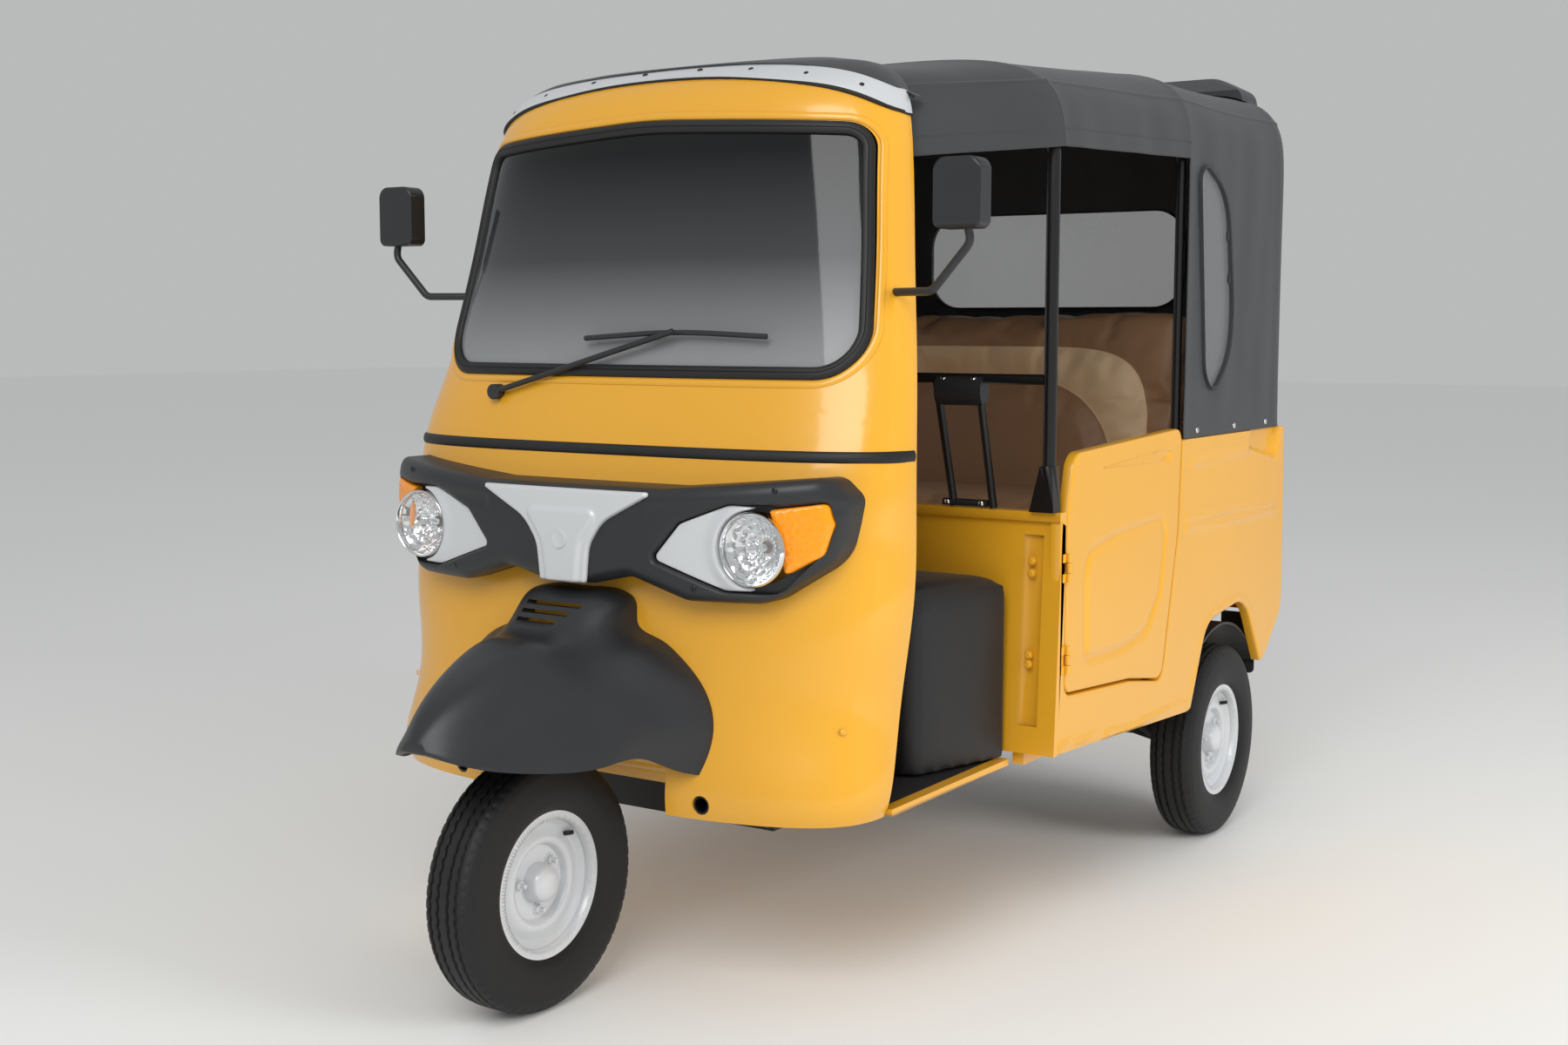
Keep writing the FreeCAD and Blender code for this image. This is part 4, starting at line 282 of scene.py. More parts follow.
# %% Points and faces
def grid_quads(rows, cols, wrap_rows=False, wrap_cols=False):
    """Quads of a grid numbered row by row: corner (r, c) joins (r+1, c), (r+1, c+1), (r, c+1)."""
    r, c = np.meshgrid(np.arange(rows - (not wrap_rows)), np.arange(cols - (not wrap_cols)), indexing="ij")
    r2, c2 = (r + 1) % rows, (c + 1) % cols
    return np.stack([r * cols + c, r2 * cols + c, r2 * cols + c2, r * cols + c2], axis=-1).reshape(-1, 4)


def join(*parts):
    """One part out of several: points follow each other, and faces count on from the last part."""
    points, faces, count = [], [], 0
    for verts, blocks in parts:
        points.append(verts)
        faces += [block + count for block in blocks]
        count += len(verts)
    return np.concatenate(points), faces


def both_sides(part):
    """A part and its mirror image in the plane X = 0."""
    return join(part, (part[0] * (-1, 1, 1), part[1]))


def new_piece(name, part, finish, body="root", stands_for=(), angle=40, weld=2e-5):
    """Mesh object of a part: points within the weld joined, faces outwards, smooth below the angle."""
    verts, blocks = part
    mesh = bpy.data.meshes.new(name)
    mesh.from_pydata(verts.tolist(), [], [face for block in blocks for face in block.tolist()])
    work = bmesh.new()
    work.from_mesh(mesh)
    bmesh.ops.remove_doubles(work, verts=work.verts, dist=weld)
    bmesh.ops.dissolve_degenerate(work, edges=work.edges, dist=weld / 2)
    bmesh.ops.recalc_face_normals(work, faces=work.faces)
    work.to_mesh(mesh)
    work.free()
    mesh.shade_smooth()
    mesh.set_sharp_from_angle(angle=np.radians(angle))
    piece = bpy.data.objects.new(name, mesh)
    bpy.context.scene.collection.objects.link(piece)
    wear(piece, finish)
    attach(piece, body)
    if stands_for:
        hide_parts(*stands_for)
    return piece


def wear(obj, material):
    """Put one material on a piece."""
    obj.data.materials.clear()
    obj.data.materials.append(material)


# %% Lines
def unit(rows):
    """Each row divided by its length."""
    rows = np.asarray(rows, float)
    return rows / np.linalg.norm(rows, axis=-1, keepdims=True)


def evenly(points, step, closed=False):
    """Points at even steps along a line: the run of its chords is divided, each coordinate read there."""
    line = np.asarray(points, float)
    if closed:
        line = np.concatenate([line, line[:1]])
    run = np.concatenate([[0], np.cumsum(np.linalg.norm(np.diff(line, axis=0), axis=1))])
    count = max(3, int(round(run[-1] / step)))
    goal = np.linspace(0, run[-1], count + 1)[:count if closed else None]
    return np.stack([np.interp(goal, run, line[:, k]) for k in range(line.shape[1])], axis=1)


def rounded_line(corners, step, closed=True):
    """Outline of corners (a, b, radius): each is cut back by radius / tan(angle / 2) and gets an arc."""
    spots = np.array([corner[:2] for corner in corners], float)
    line = []
    for k, (a, b, turn) in enumerate(corners):
        here = spots[k]
        if turn <= 0 or not closed and k in (0, len(corners) - 1):
            line.append(here[None])
            continue
        back, ahead = unit(spots[k - 1] - here), unit(spots[(k + 1) % len(spots)] - here)
        half = np.arccos(np.clip(back @ ahead, -1, 1)) / 2
        centre = here + unit(back + ahead) * turn / np.sin(half)
        first, last = here + back * turn / np.tan(half) - centre, here + ahead * turn / np.tan(half) - centre
        sweep, t = np.pi - 2 * half, np.linspace(0, 1, 13)[:, None]
        line.append(centre + (np.sin((1 - t) * sweep) * first + np.sin(t * sweep) * last) / np.sin(sweep))
    return evenly(np.concatenate(line), step, closed)


def smooth_path(points, step):
    """Path rounded by cutting each corner at a quarter and three quarters four times over, ends kept."""
    line = np.asarray(points, float)
    for _ in range(4):
        cut = np.stack([line[:-1] * 0.75 + line[1:] * 0.25, line[:-1] * 0.25 + line[1:] * 0.75], axis=1)
        line = np.concatenate([line[:1], cut.reshape(-1, line.shape[1]), line[-1:]])
    return evenly(line, step)


def ring(radius, count=12, flat=1.0):
    """Round profile, its second direction scaled by flat."""
    t = np.linspace(0, 2 * np.pi, count, endpoint=False)
    return np.stack([radius * np.cos(t), radius * flat * np.sin(t)], axis=1)


# %% Parts from profiles
def swept(path, profile, up, closed=False):
    """Profile carried along a path: its point (a, b) lands at path + a * side + b * lift."""
    path = np.asarray(path, float)
    along = unit(np.roll(path, -1, 0) - np.roll(path, 1, 0) if closed else np.gradient(path, axis=0))
    side = unit(np.cross(along, np.broadcast_to(np.asarray(up, float), path.shape)))
    lift = np.cross(side, along)
    points = path[:, None] + side[:, None] * profile[None, :, :1] + lift[:, None] * profile[None, :, 1:]
    rows, cols = points.shape[:2]
    faces = [grid_quads(rows, cols, closed, True)]
    if not closed:
        faces += [np.arange(cols)[None], (np.arange(cols) + (rows - 1) * cols)[None]]
    return points.reshape(-1, 3), faces


def lathe(profile, centre, axis, steps=48, loop=False):
    """Profile of (radius, height) turned about an axis: centre + height * axis + radius * (cos t, sin t)."""
    profile, axis = np.asarray(profile, float), unit(axis)
    first = unit(np.cross(axis, (0.31, 0.52, 0.79)))
    second = np.cross(axis, first)
    t = np.linspace(0, 2 * np.pi, steps, endpoint=False)[None, :, None]
    radius, height = profile[:, 0][:, None, None], profile[:, 1][:, None, None]
    points = np.asarray(centre) + height * axis + radius * (np.cos(t) * first + np.sin(t) * second)
    return points.reshape(-1, 3), [grid_quads(len(profile), steps, loop, True)]


def stud(centre, axis, radius, height, steps=16):
    """Round-headed fastener with a short skirt."""
    profile = [(0, height), (radius * 0.45, height * 0.92), (radius * 0.8, height * 0.65),
               (radius, height * 0.2), (radius, -height * 0.3), (0, -height * 0.3)]
    return lathe(profile, centre, axis, steps)


def hex_bolt(centre, axis, radius, height):
    """Six-sided head on a round washer."""
    head = lathe([(0, height), (radius * 0.8, height), (radius, height * 0.8), (radius, 0), (0, 0)],
                 centre, axis, 6)
    washer = lathe([(0, height * 0.3), (radius * 1.25, height * 0.25), (radius * 1.3, -height * 0.1),
                    (0, -height * 0.1)], centre, axis, 20)
    return join(head, washer)


# %% Filled outlines and pressed plates
def beyond(points, outline):
    """Depth of flat points inside a closed outline, below 0 outside, and the outline's nearest point."""
    far, near = np.empty(len(points)), np.empty((len(points), 2))
    a, d = outline, np.roll(outline, -1, 0) - outline
    for start in range(0, len(points), 4000):
        p = points[start:start + 4000, None]
        share = np.clip(((p - a) * d).sum(-1) / (d ** 2).sum(-1), 0, 1)
        foot = a + share[..., None] * d
        gap = np.linalg.norm(p - foot, axis=-1)
        best = gap.argmin(axis=1)
        b = a + d
        across = (a[:, 1] > p[..., 1]) != (b[:, 1] > p[..., 1])
        cut = a[:, 0] + d[:, 0] * (p[..., 1] - a[:, 1]) / np.where(d[:, 1] == 0, 1e-12, d[:, 1])
        inside = (across & (p[..., 0] < cut)).sum(axis=1) % 2 == 1
        rows = np.arange(len(best))
        far[start:start + 4000] = np.where(inside, 1, -1) * gap[rows, best]
        near[start:start + 4000] = foot[rows, best]
    return far, near


def shifted(line, distance, closed=True):
    """Line moved square to itself, to its left for a positive distance."""
    along = unit(np.roll(line, -1, 0) - np.roll(line, 1, 0) if closed else np.gradient(line, axis=0))
    return line + np.stack([-along[:, 1], along[:, 0]], axis=1) * distance


def inward(line):
    """Sign of the shift that moves a closed line into its own inside."""
    return np.sign(beyond(shifted(line, 0.001), line)[0].mean())


def fill(outline, holes, step, creases=(), rows=(0.0015, 0.004, 0.008)):
    """Triangles over an outline with holes: a grid, with extra rows of points along edges and creases."""
    edges = [outline, *holes]
    reach = max(rows)
    low, high = outline.min(0), outline.max(0)
    a, b = np.meshgrid(np.arange(low[0], high[0], step), np.arange(low[1], high[1], step * 0.866))
    a[1::2] += step / 2
    spots = np.stack([a.ravel(), b.ravel()], axis=1)
    clear = beyond(spots, outline)[0] > reach + step * 0.4
    for hole in holes:
        clear &= beyond(spots, hole)[0] < -reach - step * 0.4
    extra = []
    for line, offsets in [(line, (*rows, *(-r for r in rows))) for line in edges] + list(creases):
        far = np.abs(beyond(spots, line)[0])
        clear &= far > max(np.abs(offsets)) + step * 0.3
        extra += [(line, offset) for offset in offsets]
    points = [*edges, spots[clear]]
    for line, offset in extra:
        row = shifted(line, offset)
        good = np.abs(beyond(row, line)[0]) > abs(offset) * 0.9
        good &= beyond(row, outline)[0] > min(rows) * 0.6
        for hole in holes:
            good &= beyond(row, hole)[0] < -min(rows) * 0.6
        points.append(row[good])
    points = np.concatenate(points)
    bound, count = [], 0
    for line in edges:
        k = np.arange(len(line))
        bound.append(np.stack([k, (k + 1) % len(line)], axis=1) + count)
        count += len(line)
    verts, _, faces, *_ = geometry.delaunay_2d_cdt(
        points.tolist(), np.concatenate(bound).tolist(), [], 0, 1e-6)
    flat, tris = np.array([tuple(v) for v in verts]), np.array(faces)
    middle = flat[tris].mean(axis=1)
    keep = beyond(middle, outline)[0] > 0
    for hole in holes:
        keep &= beyond(middle, hole)[0] < 0
    return flat, tris[keep]


def plate(faces, front, back):
    """Closed plate: the same faces on a front and a back, joined along the open edges."""
    count = len(front)
    run = np.stack([faces, np.roll(faces, -1, axis=1)], axis=-1).reshape(-1, 2)
    rim = run[~np.isin(run[:, 0] * count + run[:, 1], run[:, 1] * count + run[:, 0])]
    sides = np.stack([rim[:, 1], rim[:, 0], rim[:, 0] + count, rim[:, 1] + count], axis=1)
    return np.concatenate([front, back]), [faces, faces[:, ::-1] + count, sides]


def roll(distance, radius):
    """Drop of a rolled edge: radius - sqrt(radius^2 - (radius - distance)^2) nearer than the radius."""
    near = radius - np.clip(distance, 0, radius)
    return radius - np.sqrt(radius ** 2 - near ** 2)


def hump(distance, half):
    """Smooth hump of height 1 at distance 0 that ends at half: (1 + cos(pi * distance / half)) / 2."""
    return (1 + np.cos(np.pi * np.clip(np.abs(distance) / half, 0, 1))) / 2


def smooth_table(table, level):
    """Columns of a table at levels between its rows, by cubics that never overshoot the rows."""
    table = np.asarray(table, float)
    x, columns = table[:, 0], table[:, 1:]
    step = np.diff(x)[:, None]
    rise = np.diff(columns, axis=0) / step
    before, after = rise[:-1], rise[1:]
    same = before * after > 0
    middle = np.where(same, 2 * before * after / np.where(same, before + after, 1), 0)
    slope = np.concatenate([rise[:1], middle, rise[-1:]])
    level = np.asarray(level, float)
    k = np.clip(np.searchsorted(x, level, side="right") - 1, 0, len(x) - 2)
    t = ((level - x[k]) / step[k, 0])[..., None]
    a, b, va, vb = columns[k], columns[k + 1], slope[k] * step[k], slope[k + 1] * step[k]
    curve = a + t * va + t ** 2 * (3 * (b - a) - 2 * va - vb) + t ** 3 * (va + vb - 2 * (b - a))
    return np.moveaxis(curve, -1, 0)


# %% [markdown]
# ## Smooth copies of the pressed and turned pieces
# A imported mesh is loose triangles. A copy whose corners are merged can be shaded smooth, with its
# real edges kept sharp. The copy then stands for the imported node, which stays for the collisions.

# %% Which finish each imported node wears
WEARS = {
    "cab_front_shell": enamel, "wheel_well": enamel, "cab_floor": enamel, "bulkhead": enamel,
    "body_side_left": enamel, "body_side_right": enamel, "door_leaf": enamel, "hinges": enamel,
    "rear_wall": enamel, "engine_lid": enamel, "passenger_floor": enamel, "seat_base": enamel,
    "windscreen": screen_glass, "cab_seals": skins["seal_rubber_black"],
    "roof_strip": skins["anodised_aluminium"], "lamp_bezel": skins["abs_satin_charcoal"],
    "silver_inserts": skins["silver_enamel"], "turn_indicators": skins["polycarbonate_amber"],
    "headlamp_lenses": skins["polycarbonate_clear"], "headlamp_reflectors": skins["vacuum_chrome"],
    "front_mudguard": skins["abs_satin_charcoal"], "steering_stem": skins["enamel_black_tube"],
    "front_link": skins["enamel_black_tube"], "front_damper": skins["enamel_black_tube"],
    "handlebar": skins["enamel_black_tube"], "floor_mat": skins["floor_rubber_black"],
    "instrument_panel": skins["abs_satin_charcoal"], "tow_tubes": skins["enamel_black_tube"],
    "driver_seat": skins["seat_vinyl_black"], "wiper": skins["abs_satin_charcoal"],
    "mirrors": skins["abs_satin_charcoal"], "tail_lamps": skins["polycarbonate_red"],
    "seat_cushion": bench_vinyl, "seat_back": bench_vinyl,
    "wheel_liners": skins["abs_satin_charcoal"], "canopy": skins["coated_cloth_grey"],
    "canopy_windows": skins["clear_pvc_film"], "roof_spoiler": skins["abs_satin_charcoal"],
    "roof_bows": skins["enamel_black_tube"], "roof_rails": skins["enamel_black_tube"],
    "grab_rail": skins["enamel_black_tube"], "chassis": skins["underbody_black"],
    "engine": skins["cast_alloy"], "rear_arms": skins["underbody_black"],
    "rear_dampers": skins["underbody_black"], "drive_shafts": skins["cast_alloy"],
    "rear_bumper": skins["enamel_black_tube"],
    "front_tyre": skins["tyre_rubber_black"], "rear_left_tyre": skins["tyre_rubber_black"],
    "rear_right_tyre": skins["tyre_rubber_black"], "front_rim": skins["silver_enamel"],
    "rear_left_rim": skins["silver_enamel"], "rear_right_rim": skins["silver_enamel"],
}


def smooth_copy(node, angle=32):
    """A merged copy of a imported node, shaded smooth except where faces meet at more than the angle."""
    mesh = nodes[node].data.copy()
    copy = bpy.data.objects.new(node + "_dressed", mesh)
    bpy.context.scene.collection.objects.link(copy)
    work = bmesh.new()
    work.from_mesh(mesh)
    bmesh.ops.remove_doubles(work, verts=work.verts, dist=2e-5)
    bmesh.ops.dissolve_degenerate(work, edges=work.edges, dist=1e-5)
    work.to_mesh(mesh)
    work.free()
    mesh.shade_smooth()
    mesh.set_sharp_from_angle(angle=np.radians(angle))
    even = copy.modifiers.new("even_shading", "WEIGHTED_NORMAL")
    even.keep_sharp, even.weight = True, 90
    wear(copy, WEARS[node])
    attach(copy, nodes[node]["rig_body"])
    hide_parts(node)
    return copy


# %% Dress the nodes that keep their solid's form
MADE_ANEW = {"canopy", "front_tyre", "rear_left_tyre", "rear_right_tyre", "door_leaf", "body_side_left",
             "body_side_right", "cab_seals", "headlamp_reflectors", "headlamp_lenses", "seat_cushion",
             "seat_back", "driver_seat", "lamp_bezel", "silver_inserts", "turn_indicators", "windscreen"}
dressed = {name: smooth_copy(name) for name in WEARS if name not in MADE_ANEW}
print(len(dressed), "nodes dressed")

# %% [markdown]
# ## The sewn canopy
# The canopy is one sheet of coated cloth, sewn from panels and stretched over three hoops. A
# cross-section is a squared arch: x = half * cos(t)^(2/n) and z = spring + rise * sin(t)^(2/n),
# with straight sides below the spring line. Rows of such sections follow each other to the tail,
# turn the corner as a quarter circle, and close across the back. Each row is cut into the same
# number of points, packed closely at the roof seam and at the stitched fold above the valance.

# %% Form of the canopy
CLOTH_FRONT, CLOTH_SPAN, CLOTH_HALF, CLOTH_CROWN, SPRING_Z = -0.470, 1.748, 0.700, 1.935, 1.500
CLOTH_ROWS = [(0.000, 0.721, 0.9525, 3.4), (0.040, 0.800, 0.9570, 3.9), (0.095, 0.905, 0.9620, 4.7),
              (0.172, 0.995, 0.9690, 5.8), (0.366, 1.000, 0.9845, 6.4), (0.566, 1.000, 0.9935, 7.0),
              (0.784, 1.000, 0.9975, 7.0), (0.940, 1.000, 1.0000, 7.0)]
TAIL_CORNER, TAIL_START, REAR_OPEN_Y, CLOTH_FOOT = 0.090, 1.188, 0.514, 1.049
BOW_Y = (-0.169, 0.519, 1.173)
SECTION_STEPS = (30, 9, 8, 8, 6, 44)


def section_sizes(y):
    """Half width, crown height and corner power of the canopy at lengthwise places, tail corner included."""
    share = np.clip((np.asarray(y, float) - CLOTH_FRONT) / CLOTH_SPAN, 0, 0.94)
    half, crown, power = smooth_table(CLOTH_ROWS, share)
    sine = np.clip((y - TAIL_START) / TAIL_CORNER, 0, 1)
    tuck = TAIL_CORNER * (1 - np.sqrt(1 - sine ** 2))
    return half * CLOTH_HALF - tuck, crown * CLOTH_CROWN - 0.6 * tuck, power


def valance_z(y):
    """Lower edge of the cloth over the side openings."""
    return np.interp(y, (-0.530, -0.170, 0.514), (1.640, 1.681, 1.708))


def roof_seam_z(y):
    """Height of the seam where roof and side panels are joined."""
    return np.interp(y, (-0.47, -0.17, 0.51, 1.19), (1.785, 1.815, 1.845, 1.850))


def half_section(y):
    """One half of a row, from the middle of the roof down the side, as (x, z) with its run of marks."""
    half, crown, power = section_sizes(y)
    t = np.linspace(np.pi / 2, 0, 900)
    x = half * np.cos(t).clip(0) ** (2 / power)
    z = SPRING_Z + (crown - SPRING_Z) * np.sin(t) ** (2 / power)
    x, z = np.append(x, half), np.append(z, CLOTH_FOOT)
    run = np.concatenate([[0], np.cumsum(np.hypot(np.diff(x), np.diff(z)))])
    edge, seam = valance_z(y), min(roof_seam_z(y), crown - 0.03)
    heights = np.array([seam + 0.010, seam - 0.010, edge + 0.041, edge + 0.029, edge, CLOTH_FOOT])
    marks = np.interp(-heights, -z, run)
    stops = np.concatenate([[0], marks])
    goal = np.concatenate([np.linspace(a, b, n, endpoint=False)
                           for a, b, n in zip(stops[:-1], stops[1:], SECTION_STEPS)] + [stops[-1:]])
    return np.stack([np.interp(goal, run, x), np.interp(goal, run, z)], axis=1)


# %% Rows of the cloth
ROW_STOPS = [(CLOTH_FRONT, 20), (-0.182, 8), (-0.158, 40), (0.502, 3), (REAR_OPEN_Y, 38), (TAIL_START, 0)]
EDGE_COL = sum(SECTION_STEPS[:-1])
OPEN_ROWS = sum(count for start, count in ROW_STOPS if start < REAR_OPEN_Y)
straight = [np.linspace(start, stop, count, endpoint=False)
            for (start, count), (stop, _) in zip(ROW_STOPS[:-1], ROW_STOPS[1:])]
side_y = np.concatenate([*straight, TAIL_START + TAIL_CORNER * np.sin(np.linspace(0, np.pi / 2, 12))])
halves = np.stack([half_section(y) for y in side_y])
whole = np.concatenate([halves[:, ::-1], halves[:, 1:] * (-1, 1)], axis=1)
cloth = np.stack([whole[..., 0], np.broadcast_to(side_y[:, None], whole.shape[:2]), whole[..., 1]], axis=-1)
back = cloth[-1] * np.linspace(1, 0, 30)[1:, None, None] ** (1, 0, 0)
cloth = np.concatenate([cloth, back])
square = np.cross(np.gradient(cloth, axis=0), np.gradient(cloth, axis=1))
square[len(side_y):] = (0, 1, 0)
square /= np.linalg.norm(square, axis=-1, keepdims=True)
square *= np.sign((square * (cloth - (0, 0.3, 1.3))).sum(-1, keepdims=True))

# %% [markdown]
# ### Seams, folds and slack
# Every mark of the sewing is a small move of the cloth square to itself. A seam is a ridge 2 mm
# high. Over a hoop the cloth stands up a little, and between hoops it sinks by up to 8 mm. The
# stitched fold above the valance is a shallow groove, and the side panels carry long soft waves
# of 2 mm that run down from the roof seam.

# %% Marks of the sewing
x, y, z = np.moveaxis(cloth, -1, 0)
on_roof = np.clip((z - 1.80) / 0.06, 0, 1)
spans = list(zip((CLOTH_FRONT, *BOW_Y), BOW_Y))
sags = np.array([(a + (b - a) * s, 4 * s * (1 - s)) for a, b in spans for s in np.linspace(0.02, 0.98, 9)])
lift = -0.0075 * on_roof * np.interp(y[:, 0], sags[:, 0], sags[:, 1])[:, None]
for place_y in BOW_Y:
    lift += 0.0022 * hump(y - place_y, 0.035)
lift += 0.0024 * hump(z - roof_seam_z(y), 0.0065) * (y < TAIL_START + 0.05)
over_side = (z < roof_seam_z(y)) & (y < 0.5)
lift += 0.0022 * hump(y + 0.170 - 0.02 * (z - 1.68), 0.008) * over_side
lift -= 0.0018 * hump(z - valance_z(y) - 0.035, 0.0045) * (y < REAR_OPEN_Y)
lift += 0.0012 * (hump(z - valance_z(y), 0.012) * (y < REAR_OPEN_Y) + hump(z - CLOTH_FOOT, 0.020))
slack = np.clip((roof_seam_z(y) - z) / 0.10, 0, 1) * np.clip((z - CLOTH_FOOT) / 0.12, 0, 1)
side_run = np.where(y < TAIL_START, y, TAIL_START + (0.70 - np.abs(x)))
lift += 0.0016 * slack * (np.sin(side_run * 23 + 2.2 * z) + 0.6 * np.sin(side_run * 41 - 5.0 * z + 1.3))
lift += 0.0012 * on_roof * np.sin(x * 9 + 1.0) * np.sin(y * 13)
cloth += square * lift[..., None]

# %% [markdown]
# ### Windows in the cloth
# The points nearest a window's outline are moved onto it, and the faces inside are left out, so
# the opening follows the outline exactly. A quad with two opposite corners on the outline is
# split along them.

# %% Window outlines, as (lengthwise or across, up)
WINDOW_SIDE = rounded_line([(0.577, 1.667, 0.030), (0.607, 1.706, 0.045), (0.771, 1.637, 0.150),
                            (0.820, 1.369, 0.300), (0.811, 1.245, 0.160), (0.692, 1.151, 0.050),
                            (0.632, 1.200, 0.080)], 0.008)
WINDOW_BACK = rounded_line([(-0.400, 1.370, 0.090), (0.400, 1.370, 0.090), (0.400, 1.640, 0.090),
                            (-0.400, 1.640, 0.090)], 0.008)
flat_points = cloth.reshape(-1, 3)
lengthwise, height = flat_points[:, 1], flat_points[:, 2]
at_side = (lengthwise < TAIL_START - 0.01) & (lengthwise > REAR_OPEN_Y + 0.01) & (height < 1.76)
at_back = np.repeat(np.arange(len(cloth)) >= len(side_y) - 1, cloth.shape[1])
depth = np.full(len(flat_points), -1.0)
for chosen, axes, outline in ((at_side, [1, 2], WINDOW_SIDE), (at_back, [0, 2], WINDOW_BACK)):
    rows = np.flatnonzero(chosen)
    far, near = beyond(flat_points[rows][:, axes], outline)
    close = np.abs(far) < 0.0078
    flat_points[np.ix_(rows[close], axes)] = near[close]
    depth[rows] = np.where(close, 0, far)
quads = grid_quads(*cloth.shape[:2])
column = quads % cloth.shape[1]
middle_col = cloth.shape[1] // 2
past_edge = np.abs(column - middle_col).max(axis=1) > EDGE_COL
open_side = past_edge & (quads // cloth.shape[1] < OPEN_ROWS).all(axis=1)
quads = quads[~open_side]
other = (depth[quads[:, 1]] == 0) & (depth[quads[:, 3]] == 0)
tris = np.concatenate([np.where(other[:, None], quads[:, [0, 1, 3]], quads[:, [0, 1, 2]]),
                       np.where(other[:, None], quads[:, [1, 2, 3]], quads[:, [0, 2, 3]])])
tris = tris[~((depth[tris] >= 0).all(axis=1))]
canopy = new_piece("canopy_cloth", (flat_points, [tris]), skins["coated_cloth_grey"],
                   stands_for=["canopy"], angle=60, weld=1e-4)
skin = canopy.modifiers.new("cloth_thickness", "SOLIDIFY")
skin.thickness, skin.offset = 0.0025, -1.0

# %% Welts round the windows and studs along the rear edge
WELT_PROUD, STUD_Z, REAR_Y_CLOTH = 0.0006, 1.066, TAIL_START + TAIL_CORNER
over_spring = np.clip(WINDOW_SIDE[:, 1] - SPRING_Z, 0, None) / (CLOTH_CROWN - SPRING_Z)
side_x = section_sizes(WINDOW_SIDE[:, 0])[0] * (1 - over_spring ** 7) ** (1 / 7) + WELT_PROUD
film_edge = np.column_stack([side_x, WINDOW_SIDE])
rear = np.full(len(WINDOW_BACK), REAR_Y_CLOTH + WELT_PROUD)
back_edge = np.column_stack([WINDOW_BACK[:, 0], rear, WINDOW_BACK[:, 1]])
flat_welt = np.array([(-0.008, -0.001), (-0.006, 0.0012), (0.006, 0.0012), (0.008, -0.001)])
welts = join(both_sides(swept(film_edge, flat_welt[:, ::-1], (1, 0, 0), True)),
             swept(back_edge, flat_welt[:, ::-1], (0, 1, 0), True))
welt = new_piece("canopy_welts", welts, skins["coated_cloth_grey"])
studs = join(*[stud((CLOTH_HALF + 0.0015, y, STUD_Z), (1, 0, 0), 0.0075, 0.004) for y in (0.60, 0.86, 1.10)])
rear_studs = join(*[stud((x, REAR_Y_CLOTH + 0.001, STUD_Z), (0, 1, 0), 0.0075, 0.004)
                    for x in (-0.5, -0.25, 0.0, 0.25, 0.5)])
snaps = new_piece("canopy_studs", join(both_sides(studs), rear_studs), skins["vacuum_chrome"])

# %% [markdown]
# ## Stuffed seats
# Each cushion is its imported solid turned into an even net, drawn in a little, and blown up from
# inside like a balloon while its seams are held. The cloth solver finds where the cover bulges and
# where it puckers against a seam. The move of every point is capped, so that a seat stays a seat.

# %% Cloth simulation of a cushion
def along_arches(points):
    """Distance from the hoop's two sewn lines, for points on the front of the back rest."""
    gaps, risen = [], points[:, 2] - BENCH_FOOT
    for half, rise, power in HOOP_ARCHES:
        across, up = np.abs(points[:, 0]) / half, np.clip(risen, 0, None) / rise
        level = (across ** power + up ** power) ** (1 / power)
        gaps.append(np.abs(level - 1) * np.hypot(points[:, 0], risen) / np.maximum(level, 0.3))
    return np.min(gaps, axis=0)


def point_rows(mesh, kind):
    """Places ("co") or directions ("normal") of a mesh's points, one row each."""
    flat = np.empty(len(mesh.vertices) * 3)
    mesh.vertices.foreach_get(kind, flat)
    return flat.reshape(-1, 3)


def settled(piece):
    """The mesh that a piece's modifiers give now. The modifiers are then taken off."""
    mesh = bpy.data.meshes.new_from_object(piece.evaluated_get(bpy.context.evaluated_depsgraph_get()))
    piece.modifiers.clear()
    return mesh


NET_STEP, DRAWN_IN, SEAM_HALF, SEAM_DEEP, BLOW_FRAMES = 0.0125, 0.006, 0.0055, 0.0030, 20


